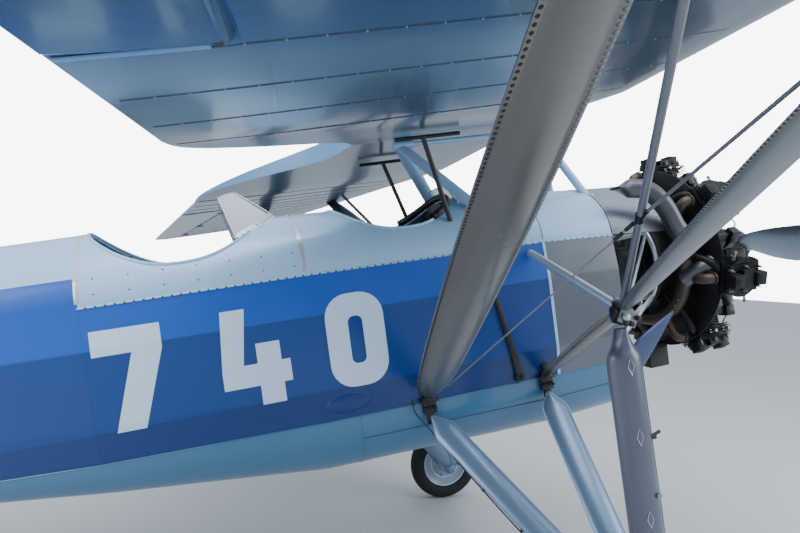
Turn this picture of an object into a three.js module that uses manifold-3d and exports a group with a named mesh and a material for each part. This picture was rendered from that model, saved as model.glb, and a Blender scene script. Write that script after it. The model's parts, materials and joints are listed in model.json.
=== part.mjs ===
// Two-seat parasol monoplane with a seven-cylinder radial engine, parked tail-down on its wheels and skid.
// Millimetres. The airframe is drawn level in its own datum frame: x forward from the wheel axles, y to port,
// z up from the axles. The outermost group then pitches it nose-up and stands it on the ground at z = 0.
import * as THREE from "three";
import { mergeVertices } from "three/addons/utils/BufferGeometryUtils.js";
import Module from "manifold-3d";

const wasm = await Module();
wasm.setup();

// Driving dimensions
const PARKED_PITCH = THREE.MathUtils.degToRad(10.35);
const TYRE_RADIUS = 245;
const AXLE_HALF_TRACK = 1190;
const MIDSHIP_SHIFT = 2074.455;
const SEAT_GAP = 0.3;
const HINGE_GAP = 6;
const THRUST_LINE_Z = 1325;
const SKIN = 16;
const TUB_WALL = 28;

// Fuselage stations: heights of the deck crown, sill, upper and lower facet edges, band bottom and belly, and the
// half-widths at the sill, between the facet edges and at the band bottom
const STATION_COLUMNS = ["x", "deck", "sill", "sillHalf", "upper", "side", "lower", "band", "bandHalf", "belly"];
const STATIONS = [
  [500, 1762, 1505, 345, 1345, 372, 1030, 900, 350, 630],
  [120, 1785, 1522, 360, 1350, 380, 1030, 895, 360, 612],
  [-990, 1797, 1522, 362, 1350, 380, 1040, 897, 360, 628],
  [-1850, 1812, 1515, 355, 1353, 378, 1060, 915, 355, 740],
  [-2600, 1790, 1510, 318, 1358, 338, 1090, 945, 312, 850],
  [-4750, 1560, 1470, 40, 1400, 48, 1240, 1140, 40, 1112],
].map((row) => Object.fromEntries(row.map((value, i) => [STATION_COLUMNS[i], value])));
const [FIREWALL_X, STRIP_X, DECK_JOINT_X, PANEL_AFT_X] = STATIONS.map((row) => row.x);
const STERNPOST_X = STATIONS.at(-1).x;
const BELLY_SEAM_X = -840;
// Power given to the cosine of a bearing round the belly: the smaller, the fuller its corners
const KEEL_FULLNESS = 0.6;
const NOSE_FRONT_X = 785;
// Side view of the open space ahead of the lower cowl's raked front edge
const CHIN_OPENING = [[483, 600], [835, 1200], [1000, 1200], [1000, 600]];
const ARCH_FACETS = 16;
const TURTLEDECK_EDGE_FACETS = 2;

// Wing; chordwise distances run aft from the leading edge, spanwise ones out from the centreline
const WING = {
  halfSpan: 6000,
  rootLeadingX: 389,
  rootUndersideZ: 2028,
  sweep: THREE.MathUtils.degToRad(8.63),
  dihedral: THREE.MathUtils.degToRad(0.4),
  incidence: THREE.MathUtils.degToRad(1.64),
  chord: 1671,
  thickness: 215,
  rootThickness: 118,
  rootRise: 100,
  rootBlend: 950,
  frontSpar: 310,
  rearSpar: 915,
};
const AILERON = { inner: 1745, outer: 5240, hingeChord: 1385, endGap: 10 };
// Outline of the trailing cut-out over the cockpits, from the centreline out to the starboard corner
const CUTOUT = [
  [-640, 0], [-700, 170], [-770, 255], [-860, 325], [-970, 395], [-1100, 475], [-1200, 550], [-1300, 640],
  [-1372, 740], [-1408, 850], [-1424, 960],
];

const FOOT_REAR = new THREE.Vector3(-536, 380, 880);
const FOOT_MIDDLE = new THREE.Vector3(41, 380, 875);
const FOOT_UPPER = new THREE.Vector3(36, 375, 1480);
const PYRAMID_APEX = new THREE.Vector3(35, 1000, 1262);
const AXLE_END = new THREE.Vector3(0, 1074, 0);
const STRUT_SPAN = 2600;

const PROPELLER = { x: 1572, radius: 1250, shaftRadius: 30, shaftSides: 16 };
const ENGINE = { x: 1110, cylinders: 7, caseRadius: 232, barrelFins: 8, headFins: 3, finThickness: 9 };

const FRONT_COCKPIT = {
  name: "front", openingX: -515, halfLength: 285, halfWidth: 304, seatX: -780, panelX: -250, screenX: -98,
  screenScale: 0.6,
};
const REAR_COCKPIT = {
  name: "rear", openingX: -1470, halfLength: 360, halfWidth: 325, seatX: -1700, panelX: -1125, screenX: -1065,
  screenScale: 1,
};

// Solids and joining
function solid(geometry) {
  const bare = geometry.index ? geometry.toNonIndexed() : geometry.clone();
  for (const name of Object.keys(bare.attributes)) if (name !== "position") bare.deleteAttribute(name);
  const merged = mergeVertices(bare, 1e-3);
  const triVerts = new Uint32Array(merged.index.array);
  const build = () =>
    new wasm.Manifold(new wasm.Mesh({ numProp: 3, vertProperties: merged.attributes.position.array, triVerts }));
  let made = build();
  if (made.volume() < 0) {
    for (let i = 0; i < triVerts.length; i += 3) {
      [triVerts[i + 1], triVerts[i + 2]] = [triVerts[i + 2], triVerts[i + 1]];
    }
    made = build();
  }
  return made;
}

function geometryOf(shape) {
  const { vertProperties, triVerts, numProp, numVert } = shape.getMesh();
  const position = new Float32Array(numVert * 3);
  for (let i = 0; i < numVert; i++) position.set(vertProperties.subarray(i * numProp, i * numProp + 3), i * 3);
  return new THREE.BufferGeometry()
    .setAttribute("position", new THREE.BufferAttribute(position, 3))
    .setIndex(new THREE.BufferAttribute(triVerts, 1));
}

const join = (...shapes) => shapes.reduce((whole, piece) => whole.add(piece));
const cut = (shape, ...tools) => tools.reduce((rest, tool) => rest.subtract(tool), shape);

// A closed skin through like-numbered loops; flat names the two axes in which the end caps are flat
function loft(loops, flat = [1, 2]) {
  const count = loops[0].length;
  const points = loops.flat(2);
  const index = [];
  for (let i = 0; i + 1 < loops.length; i++) {
    for (let j = 0; j < count; j++) {
      const a = i * count + j;
      const b = i * count + ((j + 1) % count);
      index.push(a, b, a + count, b, b + count, a + count);
    }
  }
  for (const [row, reverse] of [[0, true], [loops.length - 1, false]]) {
    const outline = loops[row].map((p) => new THREE.Vector2(p[flat[0]], p[flat[1]]));
    const clockwise = THREE.ShapeUtils.isClockWise(outline);
    const caps = THREE.ShapeUtils.triangulateShape(clockwise ? outline.slice().reverse() : outline, []);
    for (const face of caps) {
      const [a, b, c] = face.map((i) => row * count + (clockwise ? count - 1 - i : i));
      index.push(...(reverse === clockwise ? [a, b, c] : [a, c, b]));
    }
  }
  const geometry = new THREE.BufferGeometry().setAttribute("position", new THREE.Float32BufferAttribute(points, 3));
  geometry.setIndex(orientRing(index, loops, count));
  return solid(geometry);
}

// Gives the end caps the winding of the side walls, whichever way round the loops run
function orientRing(index, loops, count) {
  const walls = (loops.length - 1) * count * 6;
  const edges = new Set();
  for (let i = 0; i < walls; i += 3) {
    for (const [p, q] of [[0, 1], [1, 2], [2, 0]]) edges.add(`${index[i + p]},${index[i + q]}`);
  }
  for (const row of [0, loops.length - 1]) {
    const first = row * count;
    const last = first + count - 1;
    const inRow = (i) => i >= first && i <= last;
    let flip = false;
    for (let i = walls; i < index.length; i += 3) {
      if (![0, 1, 2].every((k) => inRow(index[i + k]))) continue;
      for (const [p, q] of [[0, 1], [1, 2], [2, 0]]) {
        if (edges.has(`${index[i + p]},${index[i + q]}`)) flip = true;
      }
    }
    if (!flip) continue;
    for (let i = walls; i < index.length; i += 3) {
      if (![0, 1, 2].every((k) => inRow(index[i + k]))) continue;
      [index[i + 1], index[i + 2]] = [index[i + 2], index[i + 1]];
    }
  }
  return index;
}

function box(x0, x1, y0, y1, z0, z1) {
  const geometry = new THREE.BoxGeometry(x1 - x0, y1 - y0, z1 - z0);
  geometry.translate((x0 + x1) / 2, (y0 + y1) / 2, (z0 + z1) / 2);
  return solid(geometry);
}

// Turns a geometry whose length lies along its own z to run from one point to another
function alongLine(geometry, from, to, across = new THREE.Vector3(1, 0, 0)) {
  const ahead = to.clone().sub(from).normalize();
  const side = across.clone().addScaledVector(ahead, -across.dot(ahead)).normalize();
  const third = ahead.clone().cross(side);
  const matrix = new THREE.Matrix4().makeBasis(side, third, ahead).setPosition(from);
  return solid(geometry.applyMatrix4(matrix));
}

function rod(from, to, radius, sides = 10, endRadius = radius) {
  const length = from.distanceTo(to);
  const geometry = new THREE.CylinderGeometry(endRadius, radius, length, sides);
  geometry.rotateX(Math.PI / 2).translate(0, 0, length / 2);
  const upright = Math.abs(to.z - from.z) > 0.9 * length;
  return alongLine(geometry, from, to, upright ? new THREE.Vector3(1, 0, 0) : new THREE.Vector3(0, 0, 1));
}

// A lens-shaped strut section, its chord lying fore and aft
const LENS = [
  [-0.5, 0], [-0.38, 0.3], [-0.1, 0.5], [0.2, 0.44], [0.5, 0], [0.2, -0.44], [-0.1, -0.5], [-0.38, -0.3],
];

// A strut of lens-shaped section; its plan pairs each part of its length with the scale of its section there
function spindle(from, to, chord, thickness, plan) {
  const length = from.distanceTo(to);
  const loops = plan.map(([part, scale]) =>
    LENS.map(([u, v]) => [-u * chord * scale, v * thickness * Math.max(scale, 0.8), part * length]));
  return alongLine(geometryOf(loft(loops, [0, 1])), from, to);
}

// A strut of one chord, tapered close to its tips
function fairedStrut(from, to, chord, thickness, tip = 0.5) {
  const taper = Math.min(260 / from.distanceTo(to), 0.2);
  return spindle(from, to, chord, thickness, [[0, tip], [taper, 1], [1 - taper, 1], [1, tip]]);
}

function pipe(points, radius, sides = 10, steps = 16) {
  const path = new THREE.CatmullRomCurve3(points.map((p) => new THREE.Vector3(...p)));
  const section = new THREE.Shape().absarc(0, 0, radius, 0, 2 * Math.PI);
  const sweep = { curveSegments: sides / 2, steps, bevelEnabled: false, extrudePath: path };
  return solid(new THREE.ExtrudeGeometry(section, sweep));
}

// A shape turned about the fore-and-aft thrust line, from [x, radius] pairs
function turnedAboutThrustLine(profile, sides = 24) {
  const geometry = new THREE.LatheGeometry(profile.map(([x, r]) => new THREE.Vector2(r, x)), sides);
  geometry.rotateZ(-Math.PI / 2).translate(0, 0, THRUST_LINE_Z);
  return solid(geometry);
}

function plate(outline, depth, place) {
  const shape = new THREE.Shape(outline.map(([u, v]) => new THREE.Vector2(u, v)));
  const geometry = new THREE.ExtrudeGeometry(shape, { depth, bevelEnabled: false });
  return solid(geometry.applyMatrix4(place));
}

const mirrored = (point, side) => new THREE.Vector3(point.x, point.y * side, point.z);
const raised = (point, lift) => new THREE.Vector3(point.x, point.y, point.z + lift);

// Carries the first point back along the line from the second, so that a strut's foot runs into what it meets
const runBack = (foot, head, extra) => foot.clone().addScaledVector(head.clone().sub(foot).normalize(), -extra);
const mirroredSolid = (shape) => shape.scale([1, -1, 1]);

// Fuselage
function stationAt(x) {
  const after = STATIONS.findIndex((row) => row.x <= x);
  const b = STATIONS[Math.max(after, 1)];
  const a = STATIONS[Math.max(after, 1) - 1];
  const t = (x - a.x) / (b.x - a.x);
  return Object.fromEntries(Object.keys(a).map((key) => [key, a[key] + (b[key] - a[key]) * t]));
}

function stationsBetween(front, rear) {
  const between = STATIONS.map((row) => row.x).filter((x) => x < front && x > rear);
  return [front, ...between, rear];
}

function archPoint(row, angle, inset = 0) {
  const y = (row.sillHalf - inset) * Math.cos(angle);
  return [row.x, y, row.sill + (row.deck - row.sill - inset) * Math.sin(angle)];
}

// Deck crown from port to starboard in equal facets, leaving out a few at each edge
function arch(row, edgeFacets = 0, inset = 0) {
  const count = ARCH_FACETS - 2 * edgeFacets;
  return Array.from({ length: count + 1 }, (_, i) =>
    archPoint(row, (Math.PI * (edgeFacets + i)) / ARCH_FACETS, inset));
}

// The slab-sided lower hull, open to nothing: sill, two facet edges and band bottom on each side
function hullLoop(row, inset = 0, floor = row.band) {
  const half = [
    [row.sillHalf - inset, row.sill],
    [row.side - inset, row.upper],
    [row.side - inset, row.lower],
    [row.bandHalf - inset, Math.max(floor, row.band)],
  ];
  const port = half.map(([y, z]) => [row.x, y, z]);
  const starboard = half.map(([y, z]) => [row.x, -y, z]).reverse();
  return [...port, ...starboard];
}

function bellyLoop(row, drop = SEAT_GAP) {
  const loop = [];
  for (let i = 0; i <= 8; i++) {
    const angle = (Math.PI * i) / 8;
    const depth = (row.band - row.belly) * Math.sin(angle);
    loop.push([row.x, row.bandHalf * fuller(Math.cos(angle)), row.band - drop - depth]);
  }
  return loop;
}

// The whole outer envelope, grown a little, to trim whatever stands on it
function envelope(grow) {
  const nose = { ...STATIONS[0], x: FIREWALL_X + grow };
  const rows = [nose, ...STATIONS.slice(1, -1), { ...STATIONS.at(-1), x: STERNPOST_X - grow }].map((row) => ({
    ...row, sillHalf: row.sillHalf + grow, side: row.side + grow, bandHalf: row.bandHalf + grow,
  }));
  const sides = loft(rows.map((row) => hullLoop({ ...row, sill: row.sill + grow, band: row.band - 1 })));
  const decks = loft(rows.map((row) => arch({ ...row, sill: row.sill + 2 * grow, deck: row.deck + 2 * grow })));
  const belly = loft(rows.map((row) => bellyLoop(row, 2 * SEAT_GAP + grow)));
  return join(sides, decks, belly);
}
const TRIM = envelope(SEAT_GAP);
const NOSE_TRIM = loft([FIREWALL_X, 660, NOSE_FRONT_X].map((x) =>
  noseRing(x, 0, 2 * Math.PI, 48, -2 * SEAT_GAP).slice(0, -1)));

function cockpitTub() {
  const outer = loft(stationsBetween(STRIP_X - SEAT_GAP, PANEL_AFT_X + SEAT_GAP).map((x) => hullLoop(stationAt(x))));
  const inner = stationsBetween(STRIP_X - TUB_WALL, PANEL_AFT_X + TUB_WALL).map((x) => {
    const row = stationAt(x);
    const loop = hullLoop(row, TUB_WALL, row.band + TUB_WALL);
    const top = [[x, -row.sillHalf + TUB_WALL, row.sill + 50], [x, row.sillHalf - TUB_WALL, row.sill + 50]];
    return [...loop, ...top];
  });
  return cut(outer, loft(inner));
}

// A point of a cockpit opening's edge seen from above, the bearing counted from straight ahead
function openingEdge({ openingX, halfLength, halfWidth }, angle) {
  const bulge = (v) => Math.sign(v) * Math.abs(v) ** 0.8;
  return [openingX + halfLength * bulge(Math.cos(angle)), halfWidth * bulge(Math.sin(angle))];
}

function cockpitOpening(cockpit) {
  const sides = 24;
  const outline = Array.from({ length: sides }, (_, i) => openingEdge(cockpit, (2 * Math.PI * i) / sides));
  return plate(outline, 400, new THREE.Matrix4().makeTranslation(0, 0, 1500));
}

function deckShell(front, rear) {
  const loops = stationsBetween(front - SEAT_GAP, rear + SEAT_GAP).map((x) => {
    const row = stationAt(x);
    const seated = { ...row, sill: row.sill + SEAT_GAP };
    return [...arch(seated), ...arch(seated, 0, SKIN).reverse()];
  });
  return loft(loops);
}

function solidDeck(front, rear, edgeFacets = 0) {
  return loft(stationsBetween(front, rear).map((x) => {
    const row = stationAt(x);
    return arch({ ...row, sill: row.sill + SEAT_GAP }, edgeFacets);
  }));
}

function rearFuselage() {
  const loops = stationsBetween(PANEL_AFT_X, STERNPOST_X).map((x) => {
    const row = stationAt(x);
    const shoulders = arch(row).slice(1, TURTLEDECK_EDGE_FACETS + 1);
    const starboard = shoulders.map(([, y, z]) => [x, -y, z - SEAT_GAP]);
    const port = shoulders.map(([, y, z]) => [x, y, z - SEAT_GAP]).reverse();
    return [...hullLoop(row), ...starboard, ...port];
  });
  return loft(loops);
}

function noseRing(x, from, to, steps, inset) {
  const fore = { x: 840, radius: 426 };
  const row = stationAt(FIREWALL_X);
  const t = (x - FIREWALL_X) / (fore.x - FIREWALL_X);
  return Array.from({ length: steps + 1 }, (_, i) => {
    const angle = from + ((to - from) * i) / steps;
    const above = Math.sin(angle) >= 0;
    const base = above ? archPoint(row, angle) : bellyPointAt(row, -angle);
    const wide = above ? Math.cos(angle) : fuller(Math.cos(angle));
    const y = base[1] + (fore.radius * wide - base[1]) * t;
    const z = base[2] + (THRUST_LINE_Z + fore.radius * Math.sin(angle) - base[2]) * t;
    const out = new THREE.Vector2(y, z - THRUST_LINE_Z);
    out.setLength(out.length() - inset);
    return [x, out.x, out.y + THRUST_LINE_Z];
  });
}

// The cosine of a bearing round the belly, made fuller towards the corners
function fuller(cosine) {
  return Math.sign(cosine) * Math.abs(cosine) ** KEEL_FULLNESS;
}

function bellyPointAt(row, angle) {
  return [row.x, row.bandHalf * fuller(Math.cos(angle)), row.band - (row.band - row.belly) * Math.sin(angle)];
}

// A quarter-shell of the nose between two bearings, given per station; bearings count up from port level
function noseShell(stations) {
  const loops = stations.map(({ x, from, to }) => {
    const a = THREE.MathUtils.degToRad(from);
    const b = THREE.MathUtils.degToRad(to);
    return [...noseRing(x, a, b, 12, 0), ...noseRing(x, b, a, 12, SKIN)];
  });
  return loft(loops);
}

const FUSELAGE_NODES = {
  cockpit_tub: cockpitTub,
  rear_decking: () => cut(deckShell(DECK_JOINT_X, PANEL_AFT_X), cockpitOpening(REAR_COCKPIT)),
  front_decking: () => cut(deckShell(STRIP_X, DECK_JOINT_X), cockpitOpening(FRONT_COCKPIT)),
  tank_decking: () => solidDeck(FIREWALL_X, STRIP_X + SEAT_GAP),
  tank_bay: () => loft([FIREWALL_X, STRIP_X].map((x) => hullLoop(stationAt(x)))),
  rear_fuselage: rearFuselage,
  turtledeck: () => solidDeck(PANEL_AFT_X, STERNPOST_X, TURTLEDECK_EDGE_FACETS),
  belly_front: () => loft(stationsBetween(FIREWALL_X, BELLY_SEAM_X + SEAT_GAP).map((x) => bellyLoop(stationAt(x)))),
  belly_rear: () => loft(stationsBetween(BELLY_SEAM_X, STERNPOST_X).map((x) => bellyLoop(stationAt(x)))),
  nose_cowl_top: () => noseShell([
    { x: FIREWALL_X + SEAT_GAP, from: 2, to: 178 }, { x: 640, from: 13, to: 167 },
    { x: NOSE_FRONT_X, from: 21, to: 159 },
  ]),
  nose_cowl_lower: () => cut(noseShell([
    { x: FIREWALL_X + SEAT_GAP, from: -178, to: -2 }, { x: 560, from: -178, to: -2 },
    { x: NOSE_FRONT_X, from: -156, to: -24 },
  ]), uprightPlate(CHIN_OPENING, 600)),
};

// Cockpit fittings
const SEAT = { panZ: 1180, width: 420, depth: 380, backHeight: 520, sheet: 14 };

function seat({ seatX }) {
  const floor = stationAt(seatX + 60).band + TUB_WALL + SEAT_GAP;
  const half = SEAT.width / 2;
  const pedestal = box(seatX + 60, seatX + 300, -120, 120, floor, SEAT.panZ - SEAT.sheet / 2);
  const pan = box(seatX, seatX + SEAT.depth, -half, half, SEAT.panZ - SEAT.sheet, SEAT.panZ);
  const back = box(seatX - SEAT.sheet, seatX, -half, half, SEAT.panZ - SEAT.sheet, SEAT.panZ + SEAT.backHeight);
  const wings = [-1, 1].map((side) =>
    plate(
      [[0, 0], [SEAT.depth, 0], [SEAT.depth, 60], [90, 300], [0, 420]],
      SEAT.sheet,
      new THREE.Matrix4().makeBasis(
        new THREE.Vector3(1, 0, 0), new THREE.Vector3(0, 0, 1), new THREE.Vector3(0, -1, 0),
      ).setPosition(seatX - 1, side > 0 ? half : -half + SEAT.sheet, SEAT.panZ - 1),
    ),
  );
  return join(pedestal, pan, back, ...wings);
}

function cushion({ seatX }) {
  const half = SEAT.width / 2 - SEAT.sheet - 2;
  const outline = [[12, -half], [SEAT.depth - 40, -half], [SEAT.depth - 10, -half + 30],
    [SEAT.depth - 10, half - 30], [SEAT.depth - 40, half], [12, half]];
  return plate(outline, 62, new THREE.Matrix4().makeTranslation(seatX, 0, SEAT.panZ + SEAT_GAP));
}

function instrumentPanel({ panelX }) {
  const rows = [panelX + 6, panelX - 6].map((x) => stationAt(x));
  const across = rows.map((row) => {
    const top = row.sillHalf - TUB_WALL - SEAT_GAP;
    const foot = row.side - TUB_WALL - SEAT_GAP - 8;
    const lower = [[-top, row.sill], [-foot, row.upper + 20], [foot, row.upper + 20], [top, row.sill]];
    const crown = arch({ ...row, sill: row.sill + SEAT_GAP }, 0, SKIN + 1).slice(1, -1);
    return [...crown, ...lower.map(([y, z]) => [row.x, y, z])];
  });
  return loft(across);
}

// A three-pane windscreen: a flat centre pane and a swept pane on each side, 5 mm thick
function windscreen({ screenX, screenScale }) {
  const foot = [[-172, 282, -130], [16, 90, -45]];
  const head = [[-225, 200, 93], [-151, 70, 121]];
  const crownZ = stationAt(screenX).deck;
  const chain = (rows, inset) => {
    const port = rows.map(([x, y, z]) => [
      screenX + x * screenScale - inset * 0.8, y * screenScale - inset, crownZ + z * screenScale,
    ]);
    return [...port, ...port.map(([x, y, z]) => [x, -y, z]).reverse()];
  };
  const ring = (rows) => [...chain(rows, 0), ...chain(rows, 5).reverse()];
  return cut(loft([ring(foot), ring(head)], [0, 1]), TRIM);
}

function coaming(cockpit) {
  const bead = Array.from({ length: 13 }, (_, i) => {
    const [x, y] = openingEdge(cockpit, THREE.MathUtils.degToRad(-66 + 11 * i));
    const row = stationAt(x);
    const z = row.sill + (row.deck - row.sill) * Math.sqrt(1 - (y / row.sillHalf) ** 2);
    return [x, y, z + 14];
  });
  return cut(pipe(bead, 15, 6, 12), TRIM);
}

// Wing
function wingSection(y, chordScale = 1) {
  const blend = Math.max(0, 1 - y / WING.rootBlend);
  const tall = THREE.MathUtils.lerp(WING.thickness, WING.rootThickness, blend) * chordScale;
  const chord = WING.chord * chordScale;
  const leadingX = WING.rootLeadingX - y * Math.tan(WING.sweep) - (WING.chord - chord) * 0.45;
  const under = WING.rootUndersideZ + y * Math.tan(WING.dihedral) + WING.rootRise * blend;
  const at = (part, height) => {
    const c = chord * part;
    return [leadingX - c, y, under - c * Math.tan(WING.incidence) + tall * height];
  };
  const upper = [
    [0, 0.34], [0.02, 0.58], [0.07, 0.79], [0.18, 0.96], [0.33, 1], [0.55, 0.8], [0.78, 0.42], [1, 0.045],
  ];
  const lower = [[1, 0.01], [0.829, 0.0], [0.6, 0], [0.3, 0], [0.1, 0.01], [0.025, 0.1]];
  return [...upper, ...lower].map(([part, height]) => at(part, height));
}

const TIP_STATIONS = [[5250, 1], [5600, 0.9], [5850, 0.7], [5960, 0.5], [6000, 0.3]];

function wingBody() {
  const rows = [[SEAT_GAP / 2, 1], [WING.rootBlend, 1], ...TIP_STATIONS];
  return loft(rows.map(([y, scale]) => wingSection(y, scale)), [0, 2]);
}

function wingPoint(y, chordwise, lift = 0) {
  const blend = Math.max(0, 1 - y / WING.rootBlend);
  return new THREE.Vector3(
    WING.rootLeadingX - y * Math.tan(WING.sweep) - chordwise,
    y,
    WING.rootUndersideZ + y * Math.tan(WING.dihedral) + WING.rootRise * blend
      - chordwise * Math.tan(WING.incidence) + lift,
  );
}

const AILERON_AXIS = { lift: 34, noseRadius: 36 };
const aileronHinge = (y) => wingPoint(y, AILERON.hingeChord, AILERON_AXIS.lift);

// The slab behind the hinge line, between two span stations, that divides a moving surface from its carrier
function aileronSlab(inner, outer, ahead) {
  const corner = (y, back) => [aileronHinge(y).x - back, y];
  const outline = [corner(inner, ahead), corner(outer, ahead), corner(outer, 800), corner(inner, 800)];
  return plate(outline, 800, new THREE.Matrix4().makeTranslation(0, 0, 1700));
}

// The radius of a many-sided bore whose flats clear a round-cornered pin of the same number of sides
const boreRadius = (pin, sides) => (pin + SEAT_GAP) / Math.cos(Math.PI / sides);

// Hinges: a plate and pin on the carrier, entering a slot and bore in the moving surface
function hingeSet(axisFrom, axisTo, fractions, { pin = 6, pinLength = 52 } = {}) {
  const pinSides = 8;
  const web = { width: 10, ahead: 60, behind: 10, high: 20 };
  const slot = { width: 26, ahead: 90, behind: 22, high: 90 };
  const along = axisTo.clone().sub(axisFrom).normalize();
  const places = fractions.map((t) => axisFrom.clone().lerp(axisTo, t));
  const bar = (at, length, radius) =>
    rod(
      at.clone().addScaledVector(along, -length / 2), at.clone().addScaledVector(along, length / 2), radius, pinSides,
    );
  const slab = (at, { width, ahead, behind, high }) => {
    const shape = new THREE.BoxGeometry(ahead + behind, high, width).translate((ahead - behind) / 2, 0, 0);
    return alongLine(shape, at, at.clone().add(along));
  };
  return {
    male: places.map((at) => join(slab(at, web), bar(at, pinLength, pin))),
    female: places.map((at) => join(slab(at, slot), bar(at, pinLength + 2, boreRadius(pin, pinSides)))),
  };
}

function wingAndAileron() {
  const body = wingBody();
  const notch = [[-640, -40], ...CUTOUT, [-1700, 960], [-1700, -40]];
  const cutter = plate(notch, 600, new THREE.Matrix4().makeTranslation(0, 0, 1800));
  const axisFrom = aileronHinge(AILERON.inner);
  const axisTo = aileronHinge(AILERON.outer);
  const hinges = hingeSet(axisFrom, axisTo, [0.08, 0.5, 0.92]);
  const bayAhead = -AILERON_AXIS.noseRadius - HINGE_GAP;
  const bay = aileronSlab(AILERON.inner - AILERON.endGap, AILERON.outer + AILERON.endGap, bayAhead);
  const wing = join(cut(body, cutter, bay), ...hinges.male);
  const nose = rod(axisFrom, axisTo, AILERON_AXIS.noseRadius, 12);
  const flap = body.intersect(aileronSlab(AILERON.inner, AILERON.outer, 0));
  const lid = body.intersect(aileronSlab(AILERON.inner, AILERON.outer, -AILERON_AXIS.noseRadius));
  const aileron = cut(join(flap, lid.intersect(nose)), ...hinges.female);
  return { wing, aileron };
}

// Cabane, wing struts and landing gear
const REAR_CABANE = { apex: new THREE.Vector3(-403, 0, 2078), foot: new THREE.Vector3(-100, 300, 1660) };
const FRONT_CABANE = { apex: new THREE.Vector3(355, 0, 2104), foot: new THREE.Vector3(516, 175, 1690) };

function rearCabane() {
  const legs = [-1, 1].map((side) => fairedStrut(REAR_CABANE.apex, mirrored(REAR_CABANE.foot, side), 62, 30, 0.8));
  const top = new THREE.Vector3(REAR_CABANE.apex.x - 30, 0, REAR_CABANE.apex.z);
  const fitting = rod(top, new THREE.Vector3(REAR_CABANE.apex.x + 70, 0, REAR_CABANE.apex.z + 1), 22, 8);
  const tube = rod(REAR_CABANE.apex, new THREE.Vector3(320, 0, 2090), 13, 6);
  return join(...legs, fitting, tube);
}

function frontCabane() {
  const legs = [-1, 1].map((side) => rod(FRONT_CABANE.apex, mirrored(FRONT_CABANE.foot, side), 19, 8));
  const cap = rod(
    new THREE.Vector3(322, 0, FRONT_CABANE.apex.z - 12), new THREE.Vector3(385, 0, FRONT_CABANE.apex.z - 11), 24, 8,
  );
  return join(...legs, cap);
}

function aileronRod(side) {
  const top = new THREE.Vector3(-400, 350 * side, 2052);
  const base = new THREE.Vector3(-300, 300 * side, 1650);
  const lever = rod(new THREE.Vector3(-530, 352 * side, 2046), new THREE.Vector3(-225, 348 * side, 2055), 9, 8);
  return join(rod(base, top, 11, 8), lever);
}

const TUBE = { apexBall: 44, upper: 21, jury: 12, piston: 23 };
// Plans of the wing struts, from the foot or apex out to the wing
const FRONT_STRUT_PLAN = [[0, 0.4], [0.1, 0.66], [0.28, 0.84], [0.45, 0.98], [0.65, 1], [0.85, 0.85], [1, 0.55]];
const REAR_STRUT_PLAN = [[0, 0.5], [0.1, 0.9], [0.3, 1], [0.5, 1], [0.68, 0.93], [0.84, 0.76], [1, 0.55]];
const FOOT_SPREAD = 40;
const PISTON_LENGTH = 150;

function pyramid(side) {
  const apex = mirrored(PYRAMID_APEX, side);
  const ball = solid(new THREE.SphereGeometry(TUBE.apexBall, 10, 6).translate(apex.x, apex.y, apex.z));
  const upper = mirrored(FOOT_UPPER, side);
  const lower = mirrored(raised(FOOT_MIDDLE, FOOT_SPREAD), side);
  return join(
    ball,
    rod(runBack(upper, apex, 60), apex, TUBE.upper, 8),
    fairedStrut(runBack(lower, apex, 60), apex, 105, 34, 0.5),
  );
}

function clearSphere(centre, radius) {
  return solid(new THREE.SphereGeometry(radius, 10, 6).translate(centre.x, centre.y, centre.z));
}

function frontWingStrut(side, wing) {
  const apex = mirrored(PYRAMID_APEX, side);
  const top = mirrored(wingPoint(STRUT_SPAN, WING.frontSpar, 30), side);
  const juryTop = mirrored(wingPoint(1880, WING.frontSpar + 150, 30), side);
  const struts = join(spindle(apex, top, 148, 46, FRONT_STRUT_PLAN), rod(apex, juryTop, TUBE.jury, 8));
  return cut(struts, clearSphere(apex, TUBE.apexBall + SEAT_GAP), wing);
}

function rearWingStrut(side, wing) {
  const foot = mirrored(raised(FOOT_REAR, FOOT_SPREAD), side);
  const top = mirrored(wingPoint(STRUT_SPAN, WING.rearSpar, 30), side);
  return cut(spindle(runBack(foot, top, 60), top, 168, 48, REAR_STRUT_PLAN), wing);
}

function shockLeg(side) {
  const apex = mirrored(PYRAMID_APEX, side);
  const axle = mirrored(AXLE_END, side);
  const foot = axle.clone().addScaledVector(apex.clone().sub(axle).normalize(), PISTON_LENGTH + SEAT_GAP);
  return cut(fairedStrut(apex, foot, 172, 74, 0.45), clearSphere(apex, TUBE.apexBall + 20));
}

function gearVee(side) {
  const axle = mirrored(AXLE_END, side);
  const boss = solid(new THREE.SphereGeometry(44, 10, 6).translate(axle.x, axle.y, axle.z));
  const feet = [[FOOT_REAR, 118], [FOOT_MIDDLE, 128]].map(([foot, chord]) => {
    const top = mirrored(raised(foot, -FOOT_SPREAD), side);
    return fairedStrut(runBack(top, axle, 60), axle, chord, 42, 0.5);
  });
  const apex = mirrored(PYRAMID_APEX, side);
  const piston = rod(axle, axle.clone().addScaledVector(apex.sub(axle).normalize(), PISTON_LENGTH), TUBE.piston, 8);
  const hubEnd = side * (AXLE_HALF_TRACK + WHEEL.hubHalf);
  return join(
    boss,
    piston,
    ...feet,
    rod(axle, new THREE.Vector3(0, hubEnd + side * 20, 0), 20, 10),
    rod(new THREE.Vector3(0, hubEnd + side * HINGE_GAP, 0), new THREE.Vector3(0, hubEnd + side * 20, 0), 34, 10),
  );
}

const WHEEL = { tyreHalf: 52, rimRadius: 148, hubHalf: 62, bore: 20.4 };

function wheelRing(profile, side, sides = 20) {
  const geometry = new THREE.LatheGeometry(profile.map(([r, y]) => new THREE.Vector2(r, y)), sides);
  return solid(geometry.translate(0, side * AXLE_HALF_TRACK, 0));
}

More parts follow.
